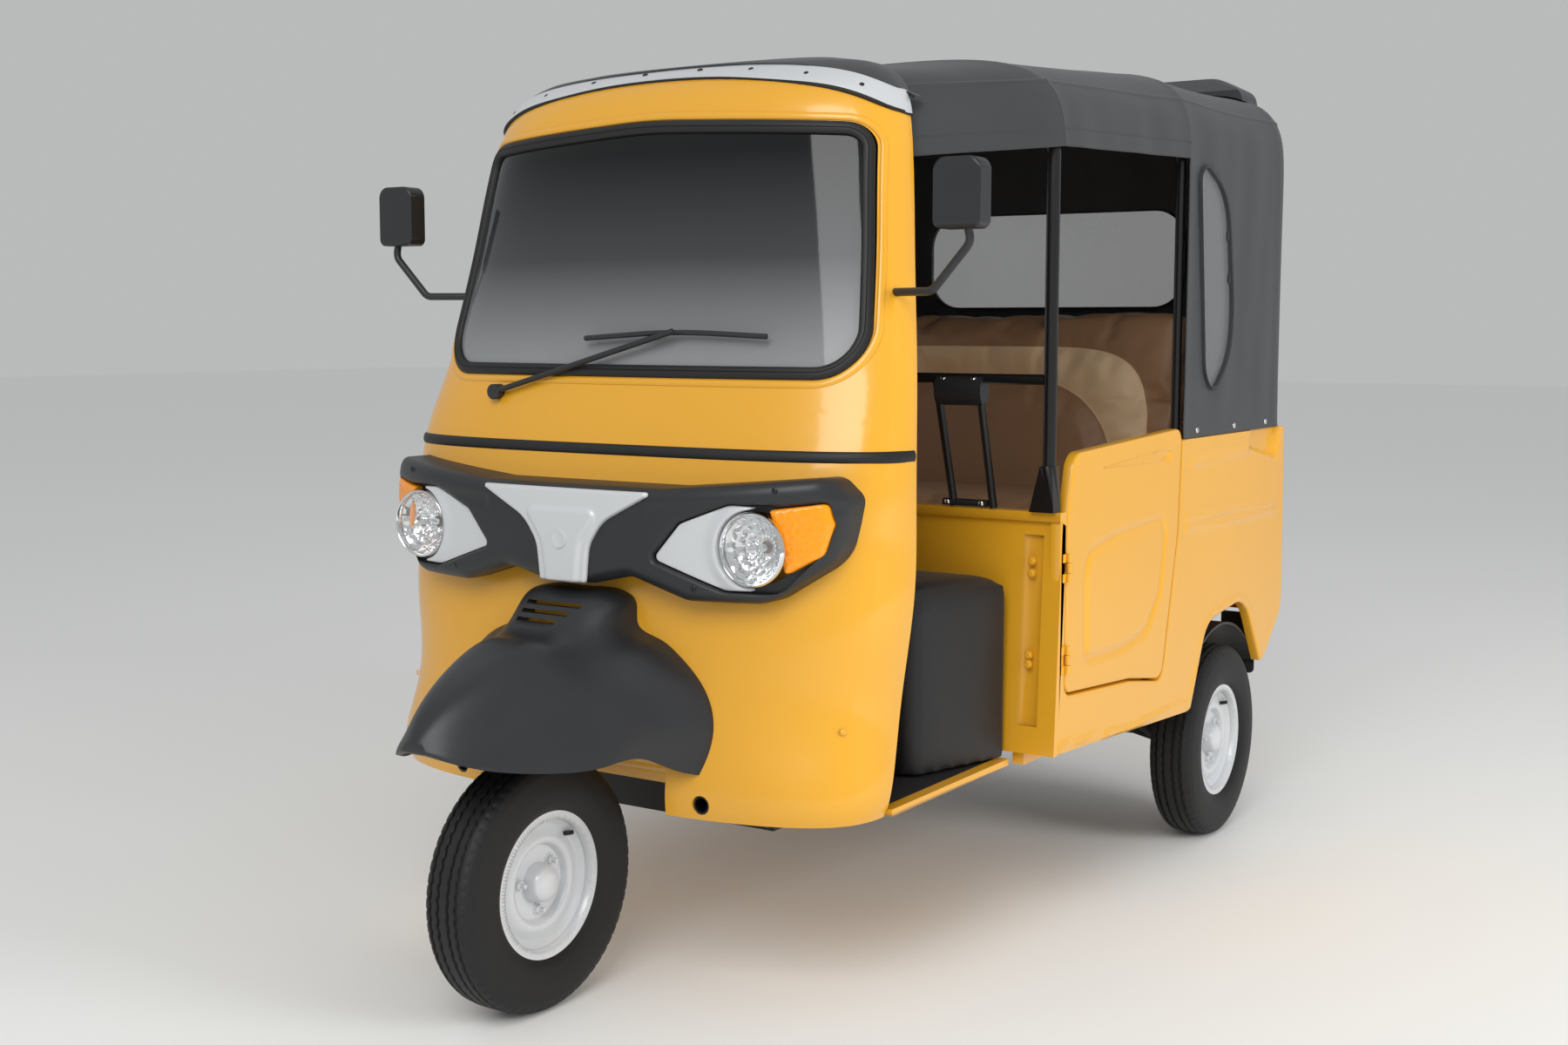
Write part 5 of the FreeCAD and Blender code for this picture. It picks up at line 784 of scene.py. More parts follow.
def stuffed(node, finish, held_by, seam_by, push, grown, cap):
    """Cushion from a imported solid: held_by picks what is nailed down, seam_by gives seam distances.

    The push is the air's pressure, grown the share by which the cover grows, and cap the largest move.
    """
    piece = smooth_copy(node)
    piece.modifiers.clear()
    net = piece.modifiers.new("net", "REMESH")
    net.mode, net.voxel_size, net.use_smooth_shade = "VOXEL", NET_STEP, True
    bpy.context.view_layer.update()
    piece.data = mesh = settled(piece)
    outward = point_rows(mesh, "normal")
    rest = point_rows(mesh, "co") - outward * DRAWN_IN
    mesh.vertices.foreach_set("co", rest.ravel())
    held = held_by(rest, outward) | (seam_by(rest) < SEAM_HALF)
    pins = piece.vertex_groups.new(name="held")
    pins.add(np.flatnonzero(held).tolist(), 1.0, "REPLACE")
    cover = piece.modifiers.new("cover", "CLOTH")
    settings = cover.settings
    settings.quality, settings.mass, settings.vertex_group_mass = 5, 0.25, "held"
    settings.tension_stiffness = settings.compression_stiffness = 12
    settings.shear_stiffness, settings.bending_stiffness = 8, 4.0
    settings.use_pressure, settings.uniform_pressure_force = True, push
    settings.shrink_min = -grown
    settings.effector_weights.gravity = 0.0
    cover.point_cache.frame_start, cover.point_cache.frame_end = 1, BLOW_FRAMES
    for moment in range(1, BLOW_FRAMES + 1):
        bpy.context.scene.frame_set(moment)
    blown = settled(piece)
    bpy.context.scene.frame_set(1)
    move = point_rows(blown, "co") - rest
    size = np.linalg.norm(move, axis=1, keepdims=True)
    move *= np.minimum(1, cap / np.maximum(size, 1e-9))
    points = rest + move - outward * SEAM_DEEP * hump(seam_by(rest), 0.016)[:, None]
    mesh.vertices.foreach_set("co", points.ravel())
    finer = piece.modifiers.new("finer", "SUBSURF")
    finer.levels = finer.render_levels = 1
    piece.data = settled(piece)
    piece.data.shade_smooth()
    print(node, "pushed by at most", round(float(size.max()) * 1000, 1), "mm before the cap")
    wear(piece, finish)
    return piece


def cushion_seams(points):
    """Piping a little below the cushion's top edge, all round."""
    return np.where(np.maximum(np.abs(points[:, 0]) / 0.545, np.abs(points[:, 1] - 0.543) / 0.221) > 1,
                    np.abs(points[:, 2] - 0.858), 1.0)


def driver_seams(points):
    """Seam across the driver's seat under its rounded top edge."""
    return np.where(points[:, 1] < -0.42, np.abs(points[:, 2] - 0.757), 1.0)


def back_seams(points):
    """The hoop's two lines on the front of the back rest."""
    return np.where(points[:, 1] < 0.87, along_arches(points), 1.0)


stuffed("seat_cushion", bench_vinyl, lambda p, n: p[:, 2] < 0.775, cushion_seams, 4.0, 0.03, 0.022)
stuffed("seat_back", bench_vinyl, lambda p, n: (n[:, 1] > 0.6) | (p[:, 2] < 0.775), back_seams,
        4.0, 0.03, 0.024)
stuffed("driver_seat", skins["seat_vinyl_black"], lambda p, n: (p[:, 2] < 0.42) | (p[:, 1] > -0.205),
        driver_seams, 0.8, 0.0, 0.010)

# %% [markdown]
# ## Tyres and wheels
# A tyre's section is worked out once and turned about the axle. On the tread the drop towards the
# shoulder is 11.7 mm * (|x| / 50.7 mm)^6. Four grooves 5.8 mm deep run round it in a low zigzag,
# and short nicks cut the shoulders. Both are moves of the tread's points towards the axle.

# %% Tyres
TYRE_R, WHEEL_Z, FRONT_Y, REAR_Y, TRACK_HALF = 0.248, 0.248, -1.040, 0.880, 0.633
TREAD_HALF, TREAD_DROP, PITCHES, ZIGZAG = 0.0507, 0.0117, 64, 0.0016
SIDEWALL = [(0.0, 0.0507, 0.2363), (0.25, 0.0565, 0.2180), (0.5, 0.0590, 0.1895), (0.75, 0.0560, 0.1630),
            (0.92, 0.0495, 0.1480), (1.0, 0.0440, 0.1420)]
tread_x = np.linspace(-TREAD_HALF, TREAD_HALF, 76)
tread_r = TYRE_R - TREAD_DROP * np.abs(tread_x / TREAD_HALF) ** 6
wall_x, wall_r = smooth_table(SIDEWALL, np.linspace(0, 1, 16)[1:])
wall_x = wall_x + 0.0008 * hump(wall_r - 0.2240, 0.004) + 0.0008 * hump(wall_r - 0.1560, 0.004)
section_x = np.concatenate([tread_x, wall_x, [0.0], -wall_x[::-1]])
section_r = np.concatenate([tread_r, wall_r, [0.1400], wall_r[::-1]])
turn = np.linspace(0, 2 * np.pi, 320, endpoint=False)
zigzag = ZIGZAG * np.abs((turn * PITCHES / (2 * np.pi)) % 1 - 0.5) * 4 - ZIGZAG
groove = np.zeros((len(section_x), len(turn)))
for place_x in (-0.031, -0.012, 0.012, 0.031):
    far = np.abs(section_x[:, None] - place_x - zigzag * np.sign(place_x))
    groove = np.maximum(groove, np.clip((0.0034 - far) / 0.0016, 0, 1))
nick = np.clip(np.cos(turn * PITCHES) * 2 - 0.6, 0, 1)
out_far, out_high = (np.abs(section_x) - 0.0395) / 0.002, (section_r - 0.2300) / 0.004
on_shoulder = np.clip(out_far, 0, 1) * np.clip(out_high, 0, 1)
drop = 0.0058 * groove * (section_r > 0.236)[:, None] + 0.0022 * on_shoulder[:, None] * nick
radius = section_r[:, None] - drop
tyre_grid = np.stack([np.broadcast_to(section_x[:, None], radius.shape), radius * np.cos(turn),
                      radius * np.sin(turn)], axis=-1)
tyre_part = (tyre_grid.reshape(-1, 3), [grid_quads(*radius.shape, True, True)])
WHEELS = [("front", "front_wheel", (0.0, FRONT_Y, WHEEL_Z), 1),
          ("rear_left", "rear_wheel_left", (TRACK_HALF, REAR_Y, WHEEL_Z), 1),
          ("rear_right", "rear_wheel_right", (-TRACK_HALF, REAR_Y, WHEEL_Z), -1)]

# %% Nuts, stud ends and valve of each wheel
NUT_RING, NUT_X = 0.053, 0.0095
nut_spots = [(NUT_X, NUT_RING * np.cos(a), NUT_RING * np.sin(a)) for a in np.radians((42, 172, -88))]
stud_end = [(0, 0.0215), (0.0045, 0.020), (0.0050, 0.009), (0, 0.009)]
nuts = join(*[join(hex_bolt(spot, (1, 0, 0), 0.0105, 0.010), lathe(stud_end, spot, (1, 0, 0), 16))
              for spot in nut_spots])
valve = join(swept(smooth_path([(0.012, 0.078, 0.078), (0.024, 0.080, 0.080), (0.034, 0.083, 0.083)], 0.004),
                   ring(0.0045, 12), (0, 1, -1)))


def at_wheel(part, centre, way):
    """A part made about the origin, turned to face outwards and moved to its wheel."""
    return part[0] * (way, 1, 1) + centre, part[1]


for name, body, centre, way in WHEELS:
    new_piece(name + "_tyre_moulded", at_wheel(tyre_part, centre, way), skins["tyre_rubber_black"], body,
              [name + "_tyre"], angle=38)
    new_piece(name + "_nuts", at_wheel(nuts, centre, way), skins["anodised_aluminium"], body,
              angle=30)
    new_piece(name + "_valve", at_wheel(valve, centre, way), skins["seal_rubber_black"], body)

# %% [markdown]
# ## Pressed body sides
# Door and side panels are sheet steel with rolled edges. Each outline is filled with triangles
# and given a front face that drops away at its edges, with its swages raised and its pressings
# sunk, as the press tool leaves them. The joint between door and body is the real 5 mm gap.

# %% Outlines of the door and the body side, as (lengthwise, up)
SIDE_X, DOOR_Y, DOOR_LOW, DOOR_LONG, DOOR_TALL = 0.700, -0.136, 0.486, 0.655, 0.590
SILL_Z, RAIL_Z, PRESS_DEEP, PRESS_WIDE = 0.909, 1.048, 0.0055, 0.015
PRESS_ROWS = (-0.015, -0.010, -0.005, 0.0001, 0.005, 0.010, 0.015)
DOOR = [(0.00, 0.093, 0.05), (0.00, 0.730, 0.15), (0.05, 0.955, 0.08), (0.985, 1.00, 0.05),
        (0.963, 0.574, 0.40), (0.834, 0.000, 0.06), (0.54, 0.052, 0.20)]
PRESSING = [(0.155, 0.190, 0.05), (0.150, 0.580, 0.10), (0.400, 0.625, 0.10), (0.850, 0.650, 0.06),
            (0.800, 0.360, 0.20), (0.680, 0.215, 0.12), (0.450, 0.185, 0.10)]
FINGER = [(0.170, 0.884, 0.004), (0.780, 0.926, 0.02), (0.880, 0.915, 0.02), (0.880, 0.868, 0.02),
          (0.800, 0.872, 0.02)]
BODY_FRONT = [(-0.1677, SILL_Z, 0), (-0.1677, 0.414, 0), (0.5824, 0.3750, 0.06), (0.6046, 0.3770, 0),
              (0.7039, 0.5803, 0.099), (0.9842, 0.6101, 0.124), (1.1154, 0.4221, 0), (1.1478, 0.4250, 0.02),
              (1.2730, 0.5370, 0.01), (1.2830, 0.5680, 0.01), (1.2650, RAIL_Z, 0.008)]
SWAGES = [[(0.573, 0.987), (0.971, 0.994)], [(0.547, 0.858), (1.185, 0.844)],
          [(0.543, 0.831), (1.187, 0.820)],
          [(-0.160, 0.432), (0.219, 0.403), (0.442, 0.401), (0.586, 0.398)]]
SCOOP = [(0.985, 0.997, 0.02), (1.004, 1.100, 0), (1.240, 1.100, 0), (1.212, 0.957, 0.02)]


def door_line(shares, step):
    """Rounded outline on the door, from shares of its length and height."""
    corners = [(DOOR_Y + u * DOOR_LONG, DOOR_LOW + v * DOOR_TALL, turn * DOOR_TALL) for u, v, turn in shares]
    return rounded_line(corners, step)


door_edge, pressing, finger = door_line(DOOR, 0.006), door_line(PRESSING, 0.006), door_line(FINGER, 0.005)
gap_line = shifted(door_edge, -0.005 * inward(door_edge))


def sunk(points, line, deep, width):
    """Drop of a panel sunk inside a line, with a soft step of the given width."""
    far = beyond(points, line)[0]
    return deep * (1 - hump(np.clip(far, 0, None), width)) * (far > 0)


def near_line(points, line):
    """Distance of flat points from an open line of straight runs."""
    gaps = []
    for a, run in zip(line[:-1], np.diff(line, axis=0)):
        share = np.clip(((points - a) @ run) / (run @ run), 0, 1)
        gaps.append(np.linalg.norm(points - a - share[:, None] * run, axis=1))
    return np.min(gaps, axis=0)


def side_plate(flat, tris, fall, side, wall=0.0235):
    """Plate whose front face lies at the vehicle's side less its fall."""
    front = np.stack([np.full(len(flat), SIDE_X) - fall, flat[:, 0], flat[:, 1]], axis=1)
    back = np.stack([np.full(len(flat), SIDE_X - wall), flat[:, 0], flat[:, 1]], axis=1)
    points, blocks = plate(tris, front, back)
    return points * (side, 1, 1), blocks


# %% Door
flat, tris = fill(door_edge, [], 0.012, [(pressing, PRESS_ROWS), (finger, (-0.003, 0.0001, 0.003, 0.006))])
fall = roll(beyond(flat, door_edge)[0], 0.006)
far = beyond(flat, pressing)[0]
fall = fall + PRESS_DEEP * hump(far, PRESS_WIDE) - 0.0012 * np.clip(far / 0.02, 0, 1)
fall = fall + sunk(flat, finger, 0.008, 0.007)
BARREL = [(0, -0.0098), (0.0056, -0.0098), (0.0060, -0.0092), (0.0060, 0.0092), (0.0056, 0.0098),
          (0, 0.0098)]
STRAP = np.array([(-0.0010, -0.0095), (0.0010, -0.0095), (0.0010, 0.0095), (-0.0010, 0.0095)])
knuckles = []
for z in (0.615, 0.811):
    knuckles += [lathe(BARREL, (0.706, -0.1385, z), (0, 0, 1), 24),
                 swept(np.array([(0.7008, -0.138, z), (0.7008, -0.112, z)]), STRAP, (0, 0, 1)),
                 stud((0.7018, -0.120, z), (1, 0, 0), 0.0035, 0.0015)]
new_piece("door_pressed", join(side_plate(flat, tris, fall, 1), *knuckles), enamel, "door_left",
          ["door_leaf"])

# %% Body sides: the door's opening is part of the left one's outline
def onwards(line, start, stop):
    """Points of a closed line from one index onwards to another."""
    return np.roll(line, -start, axis=0)[:(stop - start) % len(line) + 1]


front = rounded_line(BODY_FRONT, 0.008, closed=False)
start = np.argmin(np.linalg.norm(gap_line - (0.5220, RAIL_Z), axis=1) + (gap_line[:, 1] > 1.047) * 1.0)
stop = np.argmin(np.linalg.norm(gap_line - (-0.141, 0.904), axis=1) + (gap_line[:, 1] > 0.905) * 1.0)
end = len(gap_line) - 1
ways = [onwards(gap_line, start, stop), onwards(gap_line[::-1], end - start, end - stop)]
opening = min(ways, key=lambda way: way[:, 1].max() * 10 - (way[:, 1].min() < 0.6))
upper_end, lower_end = [(opening[0, 0], RAIL_Z)], [(opening[-1, 0], SILL_Z)]
left_edge = evenly(np.concatenate([front, upper_end, opening, lower_end]), 0.007, True)
right_edge = rounded_line([*BODY_FRONT, (-0.1407, RAIL_Z, 0), (-0.1407, SILL_Z, 0)], 0.007)
for side, edge, holder, pressed in ((1, left_edge, "body_side_left", False),
                                    (-1, right_edge, "body_side_right", True)):
    flat, tris = fill(edge, [], 0.011, [(pressing, PRESS_ROWS)] if pressed else [])
    fall = roll(beyond(flat, edge)[0], 0.004)
    if pressed:
        fall = fall + PRESS_DEEP * hump(beyond(flat, pressing)[0], PRESS_WIDE)
    for swage in SWAGES:
        fall = fall - 0.0060 * hump(near_line(flat, np.array(swage)), 0.010)
    fall = fall + sunk(flat, rounded_line(SCOOP, 0.006), 0.018, 0.016)
    over_arch = (flat[:, 1] < 0.66) * (flat[:, 0] > 0.58) * (flat[:, 0] < 1.13)
    fall = fall - 0.0035 * hump(near_line(flat, front[9:-9]) - 0.012, 0.012) * over_arch
    new_piece(holder + "_pressed", side_plate(flat, tris, fall, side), enamel, "root",
              [holder])

# %% [markdown]
# ## Seals and trims on the cab
# The cab's front is a stack of squared half arches. At each height a smooth table gives the half
# width, the places of its side edge and its nose, and the power n that squares it:
# y = side - depth * (1 - (|x| / half)^n)^(1/n). Lines drawn in the front view are laid on it, and
# a profile is carried along them: a half-round seal round the glass, a pressed lip round the seal,
# the belt moulding, and the roof strip with its screws.

# %% The cab's face
CAB_LOW, CAB_TALL, CAB_HALF, CAB_NOSE, CAB_DEEP = 0.383, 1.465, 0.605, -0.916, 0.476
NOSE_FRONT, NOSE_DEEP, NOSE_HALF, NOSE_POWER = -0.935, 0.318, 0.625, 2.8
CAB_ROWS = [(0, 0.960, 0.483, 0, 2.8), (0.177, 0.975, 0.601, 0.055, 2.8), (0.326, 1, 0.628, 0.134, 2.9),
            (0.470, 0.998, 0.630, 0.233, 3.0), (0.569, 0.964, 0.706, 0.345, 2.9),
            (0.727, 0.902, 0.821, 0.450, 2.8), (0.860, 0.858, 0.900, 0.515, 2.7),
            (0.930, 0.824, 0.940, 0.560, 2.6), (0.966, 0.765, 0.970, 0.630, 2.5),
            (0.988, 0.678, 0.990, 0.730, 2.4), (1, 0.520, 1, 0.860, 2.3)]


def cab_point(x, z):
    """Points (x, y, z) on the cab's outer face."""
    wide, rear, front, power = smooth_table(CAB_ROWS, (z - CAB_LOW) / CAB_TALL)
    y_rear, y_front = CAB_NOSE + rear * CAB_DEEP, CAB_NOSE + front * CAB_DEEP
    share = np.clip(np.abs(x) / (wide * CAB_HALF), 0, 1)
    return np.stack([x, y_rear - (y_rear - y_front) * (1 - share ** power) ** (1 / power), z], axis=-1)


def nose_y(x):
    """Front face of the lamp mask: y = front + depth * (1 - (1 - (|x| / half)^n)^(1/n))."""
    return NOSE_FRONT + NOSE_DEEP * (1 - (1 - (np.abs(x) / NOSE_HALF) ** NOSE_POWER) ** (1 / NOSE_POWER))


def cab_square(x, z):
    """Outward direction square to the cab's face, from points 1 mm apart."""
    d = 0.001
    across = cab_point(x + d / 2, z) - cab_point(x - d / 2, z)
    up = cab_point(x, z + d / 2) - cab_point(x, z - d / 2)
    return unit(np.cross(across, up))


def on_cab(line, lift=0.0):
    """A front-view line (x, z) laid on the cab, raised by a distance."""
    return cab_point(line[:, 0], line[:, 1]) + cab_square(line[:, 0], line[:, 1]) * lift


def laid(line, profile, closed=True):
    """Profile (across, proud) carried along a front-view line on the cab."""
    path, lift = on_cab(line), cab_square(line[:, 0], line[:, 1])
    along = unit(np.roll(path, -1, 0) - np.roll(path, 1, 0) if closed else np.gradient(path, axis=0))
    side = unit(np.cross(along, lift))
    points = path[:, None] + side[:, None] * profile[None, :, :1] + lift[:, None] * profile[None, :, 1:]
    faces = [grid_quads(len(path), len(profile), closed, True)]
    if not closed:
        end = np.arange(len(profile))[None]
        faces += [end, end + (len(path) - 1) * len(profile)]
    return points.reshape(-1, 3), faces


def half_round(half, proud, count=9, foot=-0.002):
    """Low arch from one side to the other, closed below."""
    t = np.linspace(0, np.pi, count)
    arch = np.stack([half * np.cos(t), proud * np.sin(t)], axis=1)
    return np.concatenate([[(half, foot)], arch, [(-half, foot)]])


# %% Screen seal, pressed lip and belt moulding
SCREEN = [(-0.540, 1.213, 0.092), (0.540, 1.213, 0.092), (0.484, 1.704, 0.058), (0, 1.728, 1.465),
          (-0.484, 1.704, 0.058)]
BELT_Z, BELT_POINTS = 1.071, 161
screen_edge = rounded_line(SCREEN, 0.010)
inwards = inward(screen_edge)
seal = laid(shifted(screen_edge, 0.0125 * inwards), half_round(0.0130, 0.0075, 11, -0.006))
filler = laid(shifted(screen_edge, 0.0135 * inwards), half_round(0.0022, 0.0092, 5, 0.0))
belt_half = smooth_table(CAB_ROWS, (BELT_Z - CAB_LOW) / CAB_TALL)[0] * CAB_HALF
belt_x = np.sin(np.linspace(-1, 1, BELT_POINTS) * np.pi / 2) * belt_half * 0.9999
belt_line = np.stack([belt_x, np.full(BELT_POINTS, BELT_Z)], axis=1)
belt = laid(belt_line, half_round(0.0115, 0.0062, 9, 0.0), False)
new_piece("screen_seal", join(seal, belt), skins["seal_rubber_black"],
          stands_for=["cab_seals"])
new_piece("screen_filler", filler, skins["tyre_rubber_black"])
lip = laid(shifted(screen_edge, -0.0085 * inwards), half_round(0.0080, 0.0040, 9, -0.001))
new_piece("screen_lip", lip, enamel)

# %% Windscreen pane, 6 mm thick and 4 mm behind the cab's face
pane_edge = shifted(screen_edge, 0.0225 * inwards)
flat, tris = fill(pane_edge, [], 0.022, rows=(0.004, 0.010))
glass = plate(tris, on_cab(flat, -0.004), on_cab(flat, -0.010))
new_piece("screen_pane", glass, screen_glass, stands_for=["windscreen"])

# %% Roof strip: rubber edges and black screws
STRIP = np.array([(-0.84, 1.20), (-0.70, 0.62), (-0.47, 0.28), (-0.24, 0.07), (0, 0), (0.24, 0.07),
                  (0.47, 0.28), (0.70, 0.62), (0.84, 1.20)]) * (CAB_HALF, -0.072) + (0, 1.815)
arch = smooth_path(STRIP, 0.008)
edges = join(laid(arch - (0, 0.002), half_round(0.0035, 0.0060, 7, 0.0), False),
             laid(arch + (0, 0.033), half_round(0.0030, 0.0058, 7, 0.0), False))
new_piece("strip_edges", edges, skins["seal_rubber_black"])
places = np.array((-0.44, -0.33, -0.20, -0.07, 0.07, 0.20, 0.33, 0.44))
spots = np.stack([places, np.interp(places, arch[:, 0], arch[:, 1]) + 0.016], axis=1)
strip_screws = join(*[stud(spot, outward, 0.0062, 0.0032)
                      for spot, outward in zip(on_cab(spots, 0.0042), cab_square(*spots.T))])
new_piece("strip_screws", strip_screws, skins["enamel_black_tube"])

# %% [markdown]
# ## Headlamps
# The bowl behind each lens is moulded in facets, so that it sparkles: rings of small cushions, each
# one bulging forwards by 2 mm in its middle. A chrome rim holds the domed lens, and a bulb with a
# bright cap stands in the middle.

# %% Reflector, rim, bulb and lens
LAMP_X, LAMP_Z, LENS_R, LENS_GAP_R = 0.415, 0.906, 0.071, 0.0735
BOWL_IN, BOWL_OUT, BOWL_ROWS, BOWL_STEPS, FACET = 0.012, 0.064, 49, 144, 0.013001
RIM = [(0.0640, 0.006), (0.0700, 0.004), (0.0700, -0.0060), (0.0672, -0.0088), (0.0640, -0.0062),
       (0.0625, 0.004)]
BULB = [(0, -0.012), (0.006, -0.011), (0.0095, -0.006), (0.0095, 0.004), (0.0075, 0.012), (0.0075, 0.055)]
lamp_y = nose_y(LAMP_X)
lamp_spot = (LAMP_X, lamp_y, LAMP_Z)
rho, t = np.meshgrid(np.linspace(BOWL_IN, BOWL_OUT, BOWL_ROWS),
                     np.linspace(0, 2 * np.pi, BOWL_STEPS, endpoint=False), indexing="ij")
odd_ring = np.floor((rho - BOWL_IN) / FACET) % 2
cell = np.abs(np.sin((rho - BOWL_IN) / (BOWL_OUT - BOWL_IN) * np.pi * 4))
cell = cell * np.abs(np.sin(t * 9 + np.pi / 2 * odd_ring))
bowl_y = 0.050 - 0.044 * (rho / BOWL_OUT) ** 2 - 0.0024 * cell
bowl_grid = np.stack([LAMP_X + rho * np.cos(t), lamp_y + bowl_y, LAMP_Z + rho * np.sin(t)], axis=-1)
bowl = (bowl_grid.reshape(-1, 3), [grid_quads(BOWL_ROWS, BOWL_STEPS, False, True)])
collar = lathe(RIM, lamp_spot, (0, 1, 0), 72, True)
bulb = lathe(BULB, (LAMP_X, lamp_y + 0.004, LAMP_Z), (0, 1, 0), 32)
new_piece("lamp_bowls", both_sides(join(bowl, bulb)), skins["vacuum_chrome"],
          stands_for=["headlamp_reflectors"], angle=24)
new_piece("lamp_rims", both_sides(collar), skins["vacuum_chrome"], angle=60)
dome = [(0.0665, 0.004)] + [(0.0665 * np.cos(a), 0.002 - 0.0225 * np.sin(a))
                            for a in np.linspace(0.06, np.pi / 2, 16)]
new_piece("lamp_domes", both_sides(lathe(dome, lamp_spot, (0, 1, 0), 72)), skins["polycarbonate_clear"],
          stands_for=["headlamp_lenses"])

# %% [markdown]
# ## Small fasteners and fittings
# What an eye at two metres still sees: bolts in the channels of the bulkhead, and screws on the
# cab and the lamp mask.

# %% Screws and bolts
screw_spots = np.array([(0.545, 0.560), (-0.545, 0.560)])
mask_screws = [stud((side * x, nose_y(x) - 0.0005, z), (0, -1, 0), 0.006, 0.002) for side in (-1, 1)
               for x, z in ((0.455, 1.016), (0.300, 0.829))]
new_piece("mask_screws", join(*mask_screws), skins["enamel_black_tube"])
cab_screws = join(*[stud(spot, outward, 0.0065, 0.003) for spot, outward
                    in zip(on_cab(screw_spots, 0.0004), cab_square(*screw_spots.T))])
channel = join(*[hex_bolt((side * 0.633, y, z), (0, -1, 0), 0.0075, 0.006) for side in (-1, 1)
                 for y, z in ((-0.167, 0.824), (-0.168, 0.798), (-0.177, 0.625), (-0.178, 0.605))])
new_piece("body_fixings", join(cab_screws, channel), enamel, angle=30)

# %% [markdown]
# ## Lamp mask and nose garnish
# The dark mask across the nose is one moulding with soft cheeks. Its outline is filled, its face
# follows the curve of the nose, and its edge rolls back over 24 mm until it meets the cab. Each
# eye holds a silver tray, a lens and an amber indicator, all laid on the same curve.

# %% Mask with its two eyes
MASK_HALF, MASK_LOW, MASK_TALL = 0.566, 0.803, 0.231
MASK = [(0.10, 0.07, 0.10), (0.27, 0.16, 0.20), (0.49, -0.01, 0.28), (0.77, 0.00, 0.36), (0.97, 0.35, 0.34),
        (1.00, 0.85, 0.14), (0.94, 1.02, 0.14), (0.39, 0.90, 0.30)]
EYE = [(-3.03, -0.41, 0.16), (-2.15, 0.62, 0.30), (-0.70, 1.16, 0.60), (0.75, 1.12, 0.30), (1.74, 1.25, 0.16),
       (1.88, 0.70, 0.20), (1.70, -0.04, 0.30), (0.62, -1.16, 0.60), (-0.80, -1.16, 0.60)]
AMBER = [(0.42, 1.04, 0.04), (1.72, 1.22, 0.12), (1.86, 0.68, 0.20), (1.66, -0.14, 0.20), (0.80, -0.64, 0.05)]


def mirrored(shares, step):
    """Outline across the middle, from shares of the mask's half width and height."""
    half = [(x * MASK_HALF, MASK_LOW + up * MASK_TALL, turn * MASK_TALL) for x, up, turn in shares]
    return rounded_line(half + [(-x, z, turn) for x, z, turn in reversed(half)], step)


def at_eye(corners, step=0.004):
    """Outline round one lamp, from corners in lens radii."""
    around = [(LAMP_X + x * LENS_R, LAMP_Z + up * LENS_R, turn * LENS_R) for x, up, turn in corners]
    return rounded_line(around, step)


def faced(flat, tris, fall, wall):
    """Plate whose front follows the nose less its fall, and whose back lies a wall behind the nose."""
    nose = nose_y(flat[:, 0])
    front = np.stack([flat[:, 0], nose + fall, flat[:, 1]], axis=1)
    rear = np.stack([flat[:, 0], np.maximum(nose + wall, nose + fall + 0.001), flat[:, 1]], axis=1)
    return plate(tris, front, rear)


mask_edge, eye = mirrored(MASK, 0.006), at_eye(EYE)
eyes = [eye, (eye * (-1, 1))[::-1]]
flat, tris = fill(mask_edge, eyes, 0.009, rows=(0.0012, 0.003, 0.006, 0.010, 0.015, 0.021))
outer = beyond(flat, mask_edge)[0]
inner = np.min([-beyond(flat, one)[0] for one in eyes], axis=0)
across = np.abs(flat[:, 0])
brow = 0.0035 * hump(flat[:, 1] - 0.958 - 0.05 * across, 0.020) * (across > 0.20)
fall = roll(outer, 0.024) + roll(inner, 0.007) + brow
cab_y = cab_point(flat[:, 0], flat[:, 1])[:, 1]
face_y = nose_y(flat[:, 0]) + fall
mask = plate(tris, np.stack([flat[:, 0], face_y, flat[:, 1]], axis=1),
             np.stack([flat[:, 0], np.maximum(cab_y + 0.002, face_y + 0.004), flat[:, 1]], axis=1))
around = np.radians(np.arange(0, 360, 5))
lens_ring = np.stack([LAMP_X + 0.0690 * np.cos(around), LAMP_Z + 0.0690 * np.sin(around)], axis=1)
pit_flat, pit_tris = fill(shifted(eye, -0.004 * inward(eye)), [lens_ring], 0.012, rows=(0.003,))
pit = both_sides(faced(pit_flat, pit_tris, 0.024, 0.028))
new_piece("lamp_mask", join(mask, pit), skins["abs_satin_charcoal"],
          stands_for=["lamp_bezel"], angle=50)

# %% Silver trays, nose garnish and plain disc
round_t = np.radians(np.linspace(96, 262, 60))
arc_line = np.stack([LAMP_X + LENS_GAP_R * np.cos(round_t), LAMP_Z + LENS_GAP_R * np.sin(round_t)], axis=1)
tray_outer = at_eye([(-0.10, -1.10, 0), (-0.80, -1.13, 0.60), (-2.97, -0.40, 0.15), (-2.12, 0.59, 0.30),
                     (-0.70, 1.13, 0.60), (-0.10, 1.10, 0)])
lower_end = (LAMP_X - 0.10 * LENS_R, LAMP_Z - 1.10 * LENS_R)
upper_end = (LAMP_X - 0.10 * LENS_R, LAMP_Z + 1.10 * LENS_R)
lower_k = np.argmin(np.linalg.norm(tray_outer - lower_end, axis=1))
tray_outer = np.roll(tray_outer, -lower_k, 0)
stop_k = np.argmin(np.linalg.norm(tray_outer - upper_end, axis=1))
tray_edge = evenly(np.concatenate([tray_outer[:stop_k + 1], arc_line]), 0.004, True)
flat, tris = fill(tray_edge, [], 0.008, rows=(0.0015, 0.004, 0.008))
from_lens = np.hypot(flat[:, 0] - LAMP_X, flat[:, 1] - LAMP_Z) - LENS_GAP_R
fall = 0.010 + roll(beyond(flat, tray_edge)[0], 0.003) - 0.007 * hump(from_lens, 0.028)
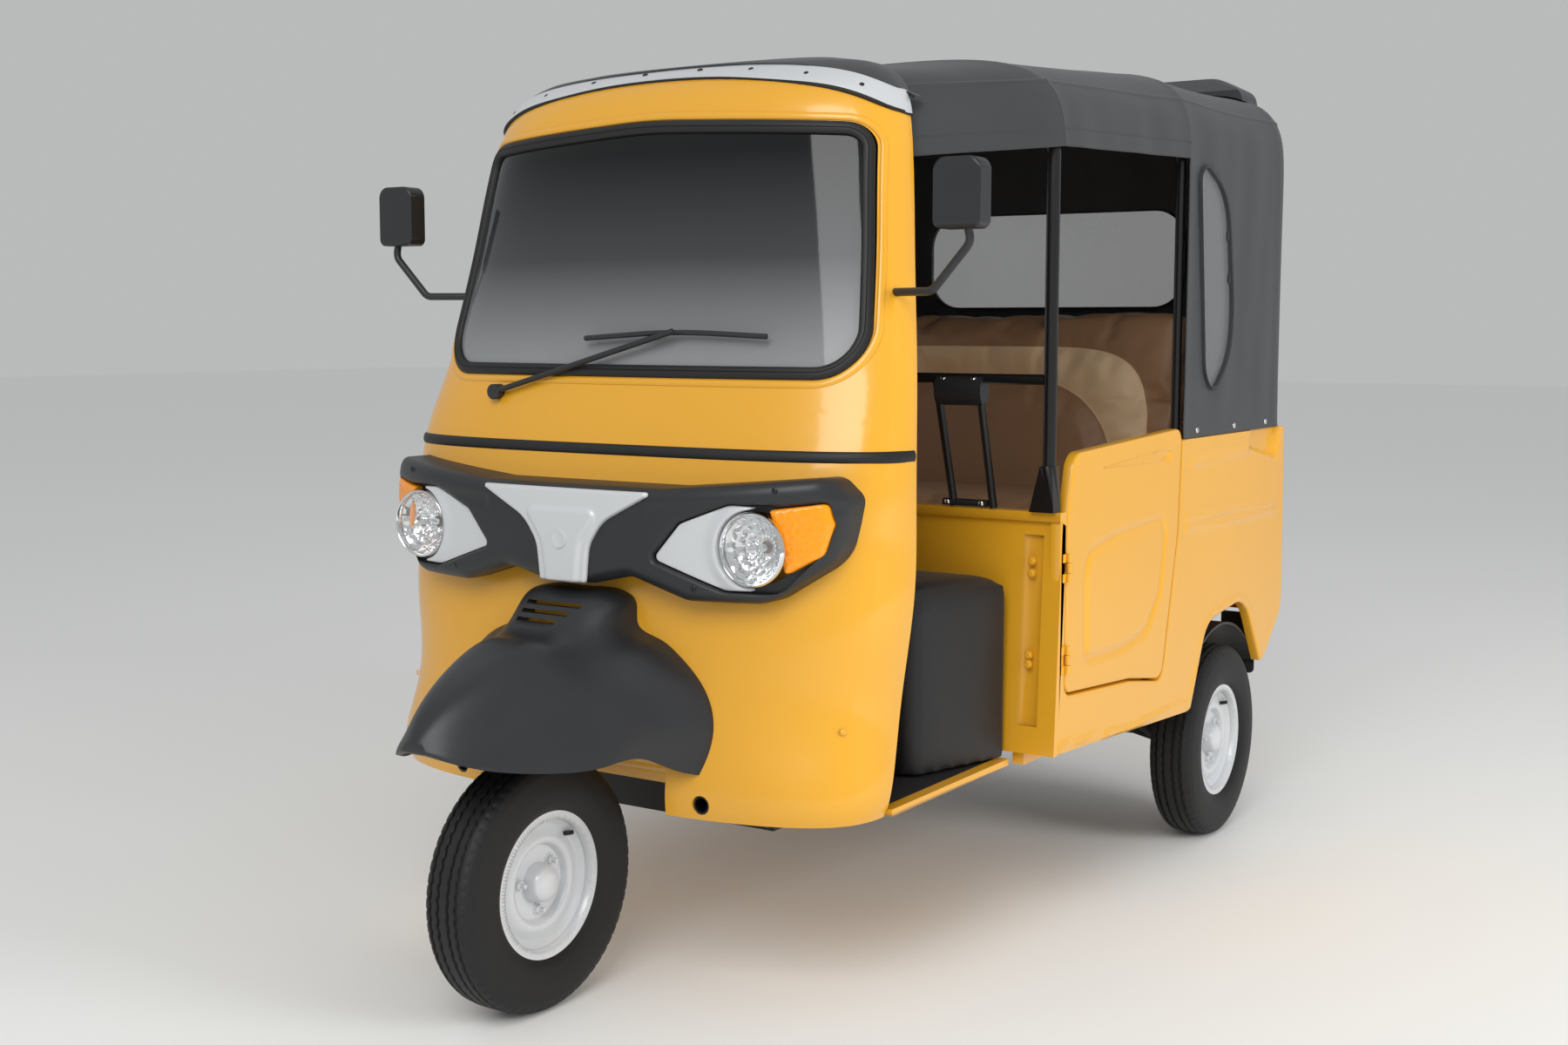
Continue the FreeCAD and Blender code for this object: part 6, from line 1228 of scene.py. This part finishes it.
tray = faced(flat, tris, fall, 0.026)
GARNISH = [(0.10, 0.08, 0.02), (0.115, 0.40, 0.30), (0.17, 0.60, 0.40), (0.385, 0.87, 0.02)]
PLATEAU = [(-0.040, 0.815, 0.01), (0.040, 0.815, 0.01), (0.052, 0.900, 0.04), (0.092, 0.955, 0.012),
           (0.075, 0.968, 0.010), (-0.075, 0.968, 0.010), (-0.092, 0.955, 0.012), (-0.052, 0.900, 0.04)]
garnish_edge = mirrored(GARNISH, 0.005)
plateau = rounded_line(PLATEAU, 0.005)
flat, tris = fill(garnish_edge, [], 0.008, [(plateau, (-0.004, 0.0001, 0.004, 0.008))])
fall = -0.0085 + roll(beyond(flat, garnish_edge)[0], 0.006) - sunk(flat, plateau, 0.0055, 0.008)
blaze = faced(flat, tris, fall, 0.0005)
DISC = [(0, 0.0024), (0.0125, 0.0022), (0.0150, 0.0034), (0.0175, 0.0030), (0.0185, 0.0), (0.0185, -0.004),
        (0, -0.004)]
disc = lathe(DISC, (0, nose_y(0) - 0.0140, 0.905), (0, -1, 0), 48)
new_piece("silver_mouldings", join(both_sides(tray), blaze, disc), skins["silver_enamel"],
          stands_for=["silver_inserts"], angle=50)

# %% Amber indicators, ribbed inside
amber_edge = at_eye(AMBER)
flat, tris = fill(amber_edge, [], 0.0045, rows=(0.0012, 0.003, 0.006))
ribs = 0.0010 * np.sin((flat[:, 0] - LAMP_X) * 2 * np.pi / 0.016)
ribs = ribs * np.sin((flat[:, 1] - LAMP_Z) * 2 * np.pi / 0.021)
far = beyond(flat, amber_edge)[0]
amber = faced(flat, tris, roll(far, 0.008) - 0.003 + ribs * np.clip(far / 0.006 - 1, 0, 1), 0.025)
new_piece("amber_lenses", both_sides(amber), skins["polycarbonate_amber"],
          stands_for=["turn_indicators"], angle=50)

# %% Front flap of the canopy, tucked under the roof strip
FLAP_ROWS, FLAP_COLS, CAB_CROWN = 33, 101, CAB_LOW + CAB_TALL * 0.9999
flap_x = np.linspace(-0.506, 0.506, FLAP_COLS)
top_levels = np.linspace(0.86, 1, 60)
top_half = smooth_table(CAB_ROWS, top_levels)[0] * CAB_HALF
top_share = np.interp(np.abs(flap_x) + 0.0005, top_half[::-1], top_levels[::-1], left=0.9999)
z_high = CAB_LOW + CAB_TALL * top_share
z_low = np.interp(flap_x, arch[:, 0], arch[:, 1]) + 0.030
share = np.sin(np.linspace(0, np.pi / 2, FLAP_ROWS))[None, :]
flap_z = z_low[:, None] + np.maximum(z_high - z_low, 0.0005)[:, None] * share
flap = cab_point(np.repeat(flap_x[:, None], FLAP_ROWS, axis=1), np.minimum(flap_z, CAB_CROWN))
FLAP_BACK = np.linspace(0, 0.034, 7)[1:]
back = flap[:, -1:] + np.stack([0 * FLAP_BACK, FLAP_BACK, 0 * FLAP_BACK], axis=1)[None]
flap = np.concatenate([flap, back], axis=1)
rows = flap.shape[1]
flap_top = flap + (0, -0.001, 0.0055)
flap_low = flap + (0, 0.001, 0.0008)
count, last, end = FLAP_COLS * rows, rows - 1, FLAP_COLS - 1
skin_faces = grid_quads(FLAP_COLS, rows)
rim = np.concatenate([np.arange(rows), last + rows * np.arange(1, end + 1),
                      rows * end + np.arange(last - 1, -1, -1), rows * np.arange(end - 1, 0, -1)])
wall_faces = np.stack([rim, np.roll(rim, -1), np.roll(rim, -1) + count, rim + count], axis=1)
flap_part = (np.concatenate([flap_top.reshape(-1, 3), flap_low.reshape(-1, 3)]),
             [skin_faces, skin_faces + count, wall_faces])
new_piece("canopy_front_flap", flap_part, skins["coated_cloth_grey"], angle=50)

# %% Bracket and foot bar of the grab rail, and the wheel-arch flaps
bracket = swept(np.array([(x, -0.171, 1.180) for x in (0.408, 0.412, 0.515, 0.519)]),
                ring(0.021, 28, 1.55), (0, 0, 1))
foot_bar = swept(np.array([(0.425, -0.172, 0.940), (0.530, -0.172, 0.940)]), ring(0.008, 16), (0, 0, 1))
new_piece("rail_bracket", both_sides(join(bracket, foot_bar)), skins["abs_satin_charcoal"])
rail_screws = join(*[stud((x, -0.186, 1.206), (0, -0.5, 0.86), 0.006, 0.003) for x in (0.428, 0.500)],
                   *[stud((x, -0.180, 0.940), (0, -1, 0), 0.006, 0.003) for x in (0.437, 0.518)])
new_piece("rail_screws", both_sides(rail_screws), skins["vacuum_chrome"])
flap_ring = rounded_line([(0.580, 0.380, 0.012), (0.674, 0.380, 0.012), (0.674, 0.545, 0.004),
                          (0.580, 0.545, 0.004)], 0.006)
flat, tris = fill(flap_ring, [], 0.02, rows=(0.002,))
arch_flap = plate(tris, np.stack([flat[:, 0], np.full(len(flat), 1.1420), flat[:, 1]], axis=1),
                  np.stack([flat[:, 0], np.full(len(flat), 1.1470), flat[:, 1]], axis=1))
new_piece("arch_flaps", both_sides(arch_flap), skins["floor_rubber_black"])

# %% [markdown]
# ## Floor, light and camera
# The photograph was taken from the front left at about eye height with a normal lens. The floor is
# matt and pale, and the camera sees a plain pale grey behind it. The world gives most of the light,
# as an overcast sky does. One broad lamp from above the camera shapes the bonnet, and one lights
# the vehicle's left side without showing up in gloss.

# %% Stage
def stage_floor():
    """One large matt square, pale grey."""
    mesh = bpy.data.meshes.new("floor")
    mesh.from_pydata([(-40, -40, 0), (40, -40, 0), (40, 40, 0), (-40, 40, 0)], [], [(0, 1, 2, 3)])
    floor = bpy.data.objects.new("floor", mesh)
    bpy.context.scene.collection.objects.link(floor)
    wear(floor, new_finish("studio_floor", {"Base Color": paint("#F0F0ED"), "Roughness": 0.75})[0])


stage_floor()
world = bpy.data.worlds.new("overcast")
world.use_nodes = True
tree = world.node_tree
tree.nodes.clear()
seen = add(tree, "ShaderNodeLightPath", {})
plain = add(tree, "ShaderNodeBackground", {"Color": paint("#B9BBBA"), "Strength": 1.0})
soft = add(tree, "ShaderNodeBackground", {"Color": paint("#F4F6F8"), "Strength": 0.58})
either = add(tree, "ShaderNodeMixShader", {"Fac": seen.outputs["Is Camera Ray"]})
tree.links.new(soft.outputs[0], either.inputs[1])
tree.links.new(plain.outputs[0], either.inputs[2])
add(tree, "ShaderNodeOutputWorld", {"Surface": either.outputs[0]})
bpy.context.scene.world = world


def lamp(name, place, target, size, watts):
    """A square area lamp that looks at a target."""
    light = bpy.data.lights.new(name, "AREA")
    light.shape, light.size, light.energy = "SQUARE", size, watts
    holder = bpy.data.objects.new(name, light)
    holder.location = place
    holder.rotation_euler = (Vector(target) - Vector(place)).to_track_quat("-Z", "Y").to_euler()
    bpy.context.scene.collection.objects.link(holder)
    return holder


lamp("key", (2.0, -6.0, 5.5), (0, 0, 0.9), 4.0, 260)
lamp("side", (6.5, 0.0, 2.4), (0, 0.5, 1.1), 3.0, 230).visible_glossy = False

# %% Camera
bpy.context.scene.view_settings.view_transform = "Standard"
camera = bpy.data.cameras.new("camera")
camera.lens, camera.sensor_width = 42.18, 36.0
holder = bpy.data.objects.new("camera", camera)
holder.location = (2.299, -3.666, 1.315)
holder.rotation_euler = np.radians((83.90, -0.07, 33.21))
bpy.context.scene.collection.objects.link(holder)
bpy.context.scene.camera = holder
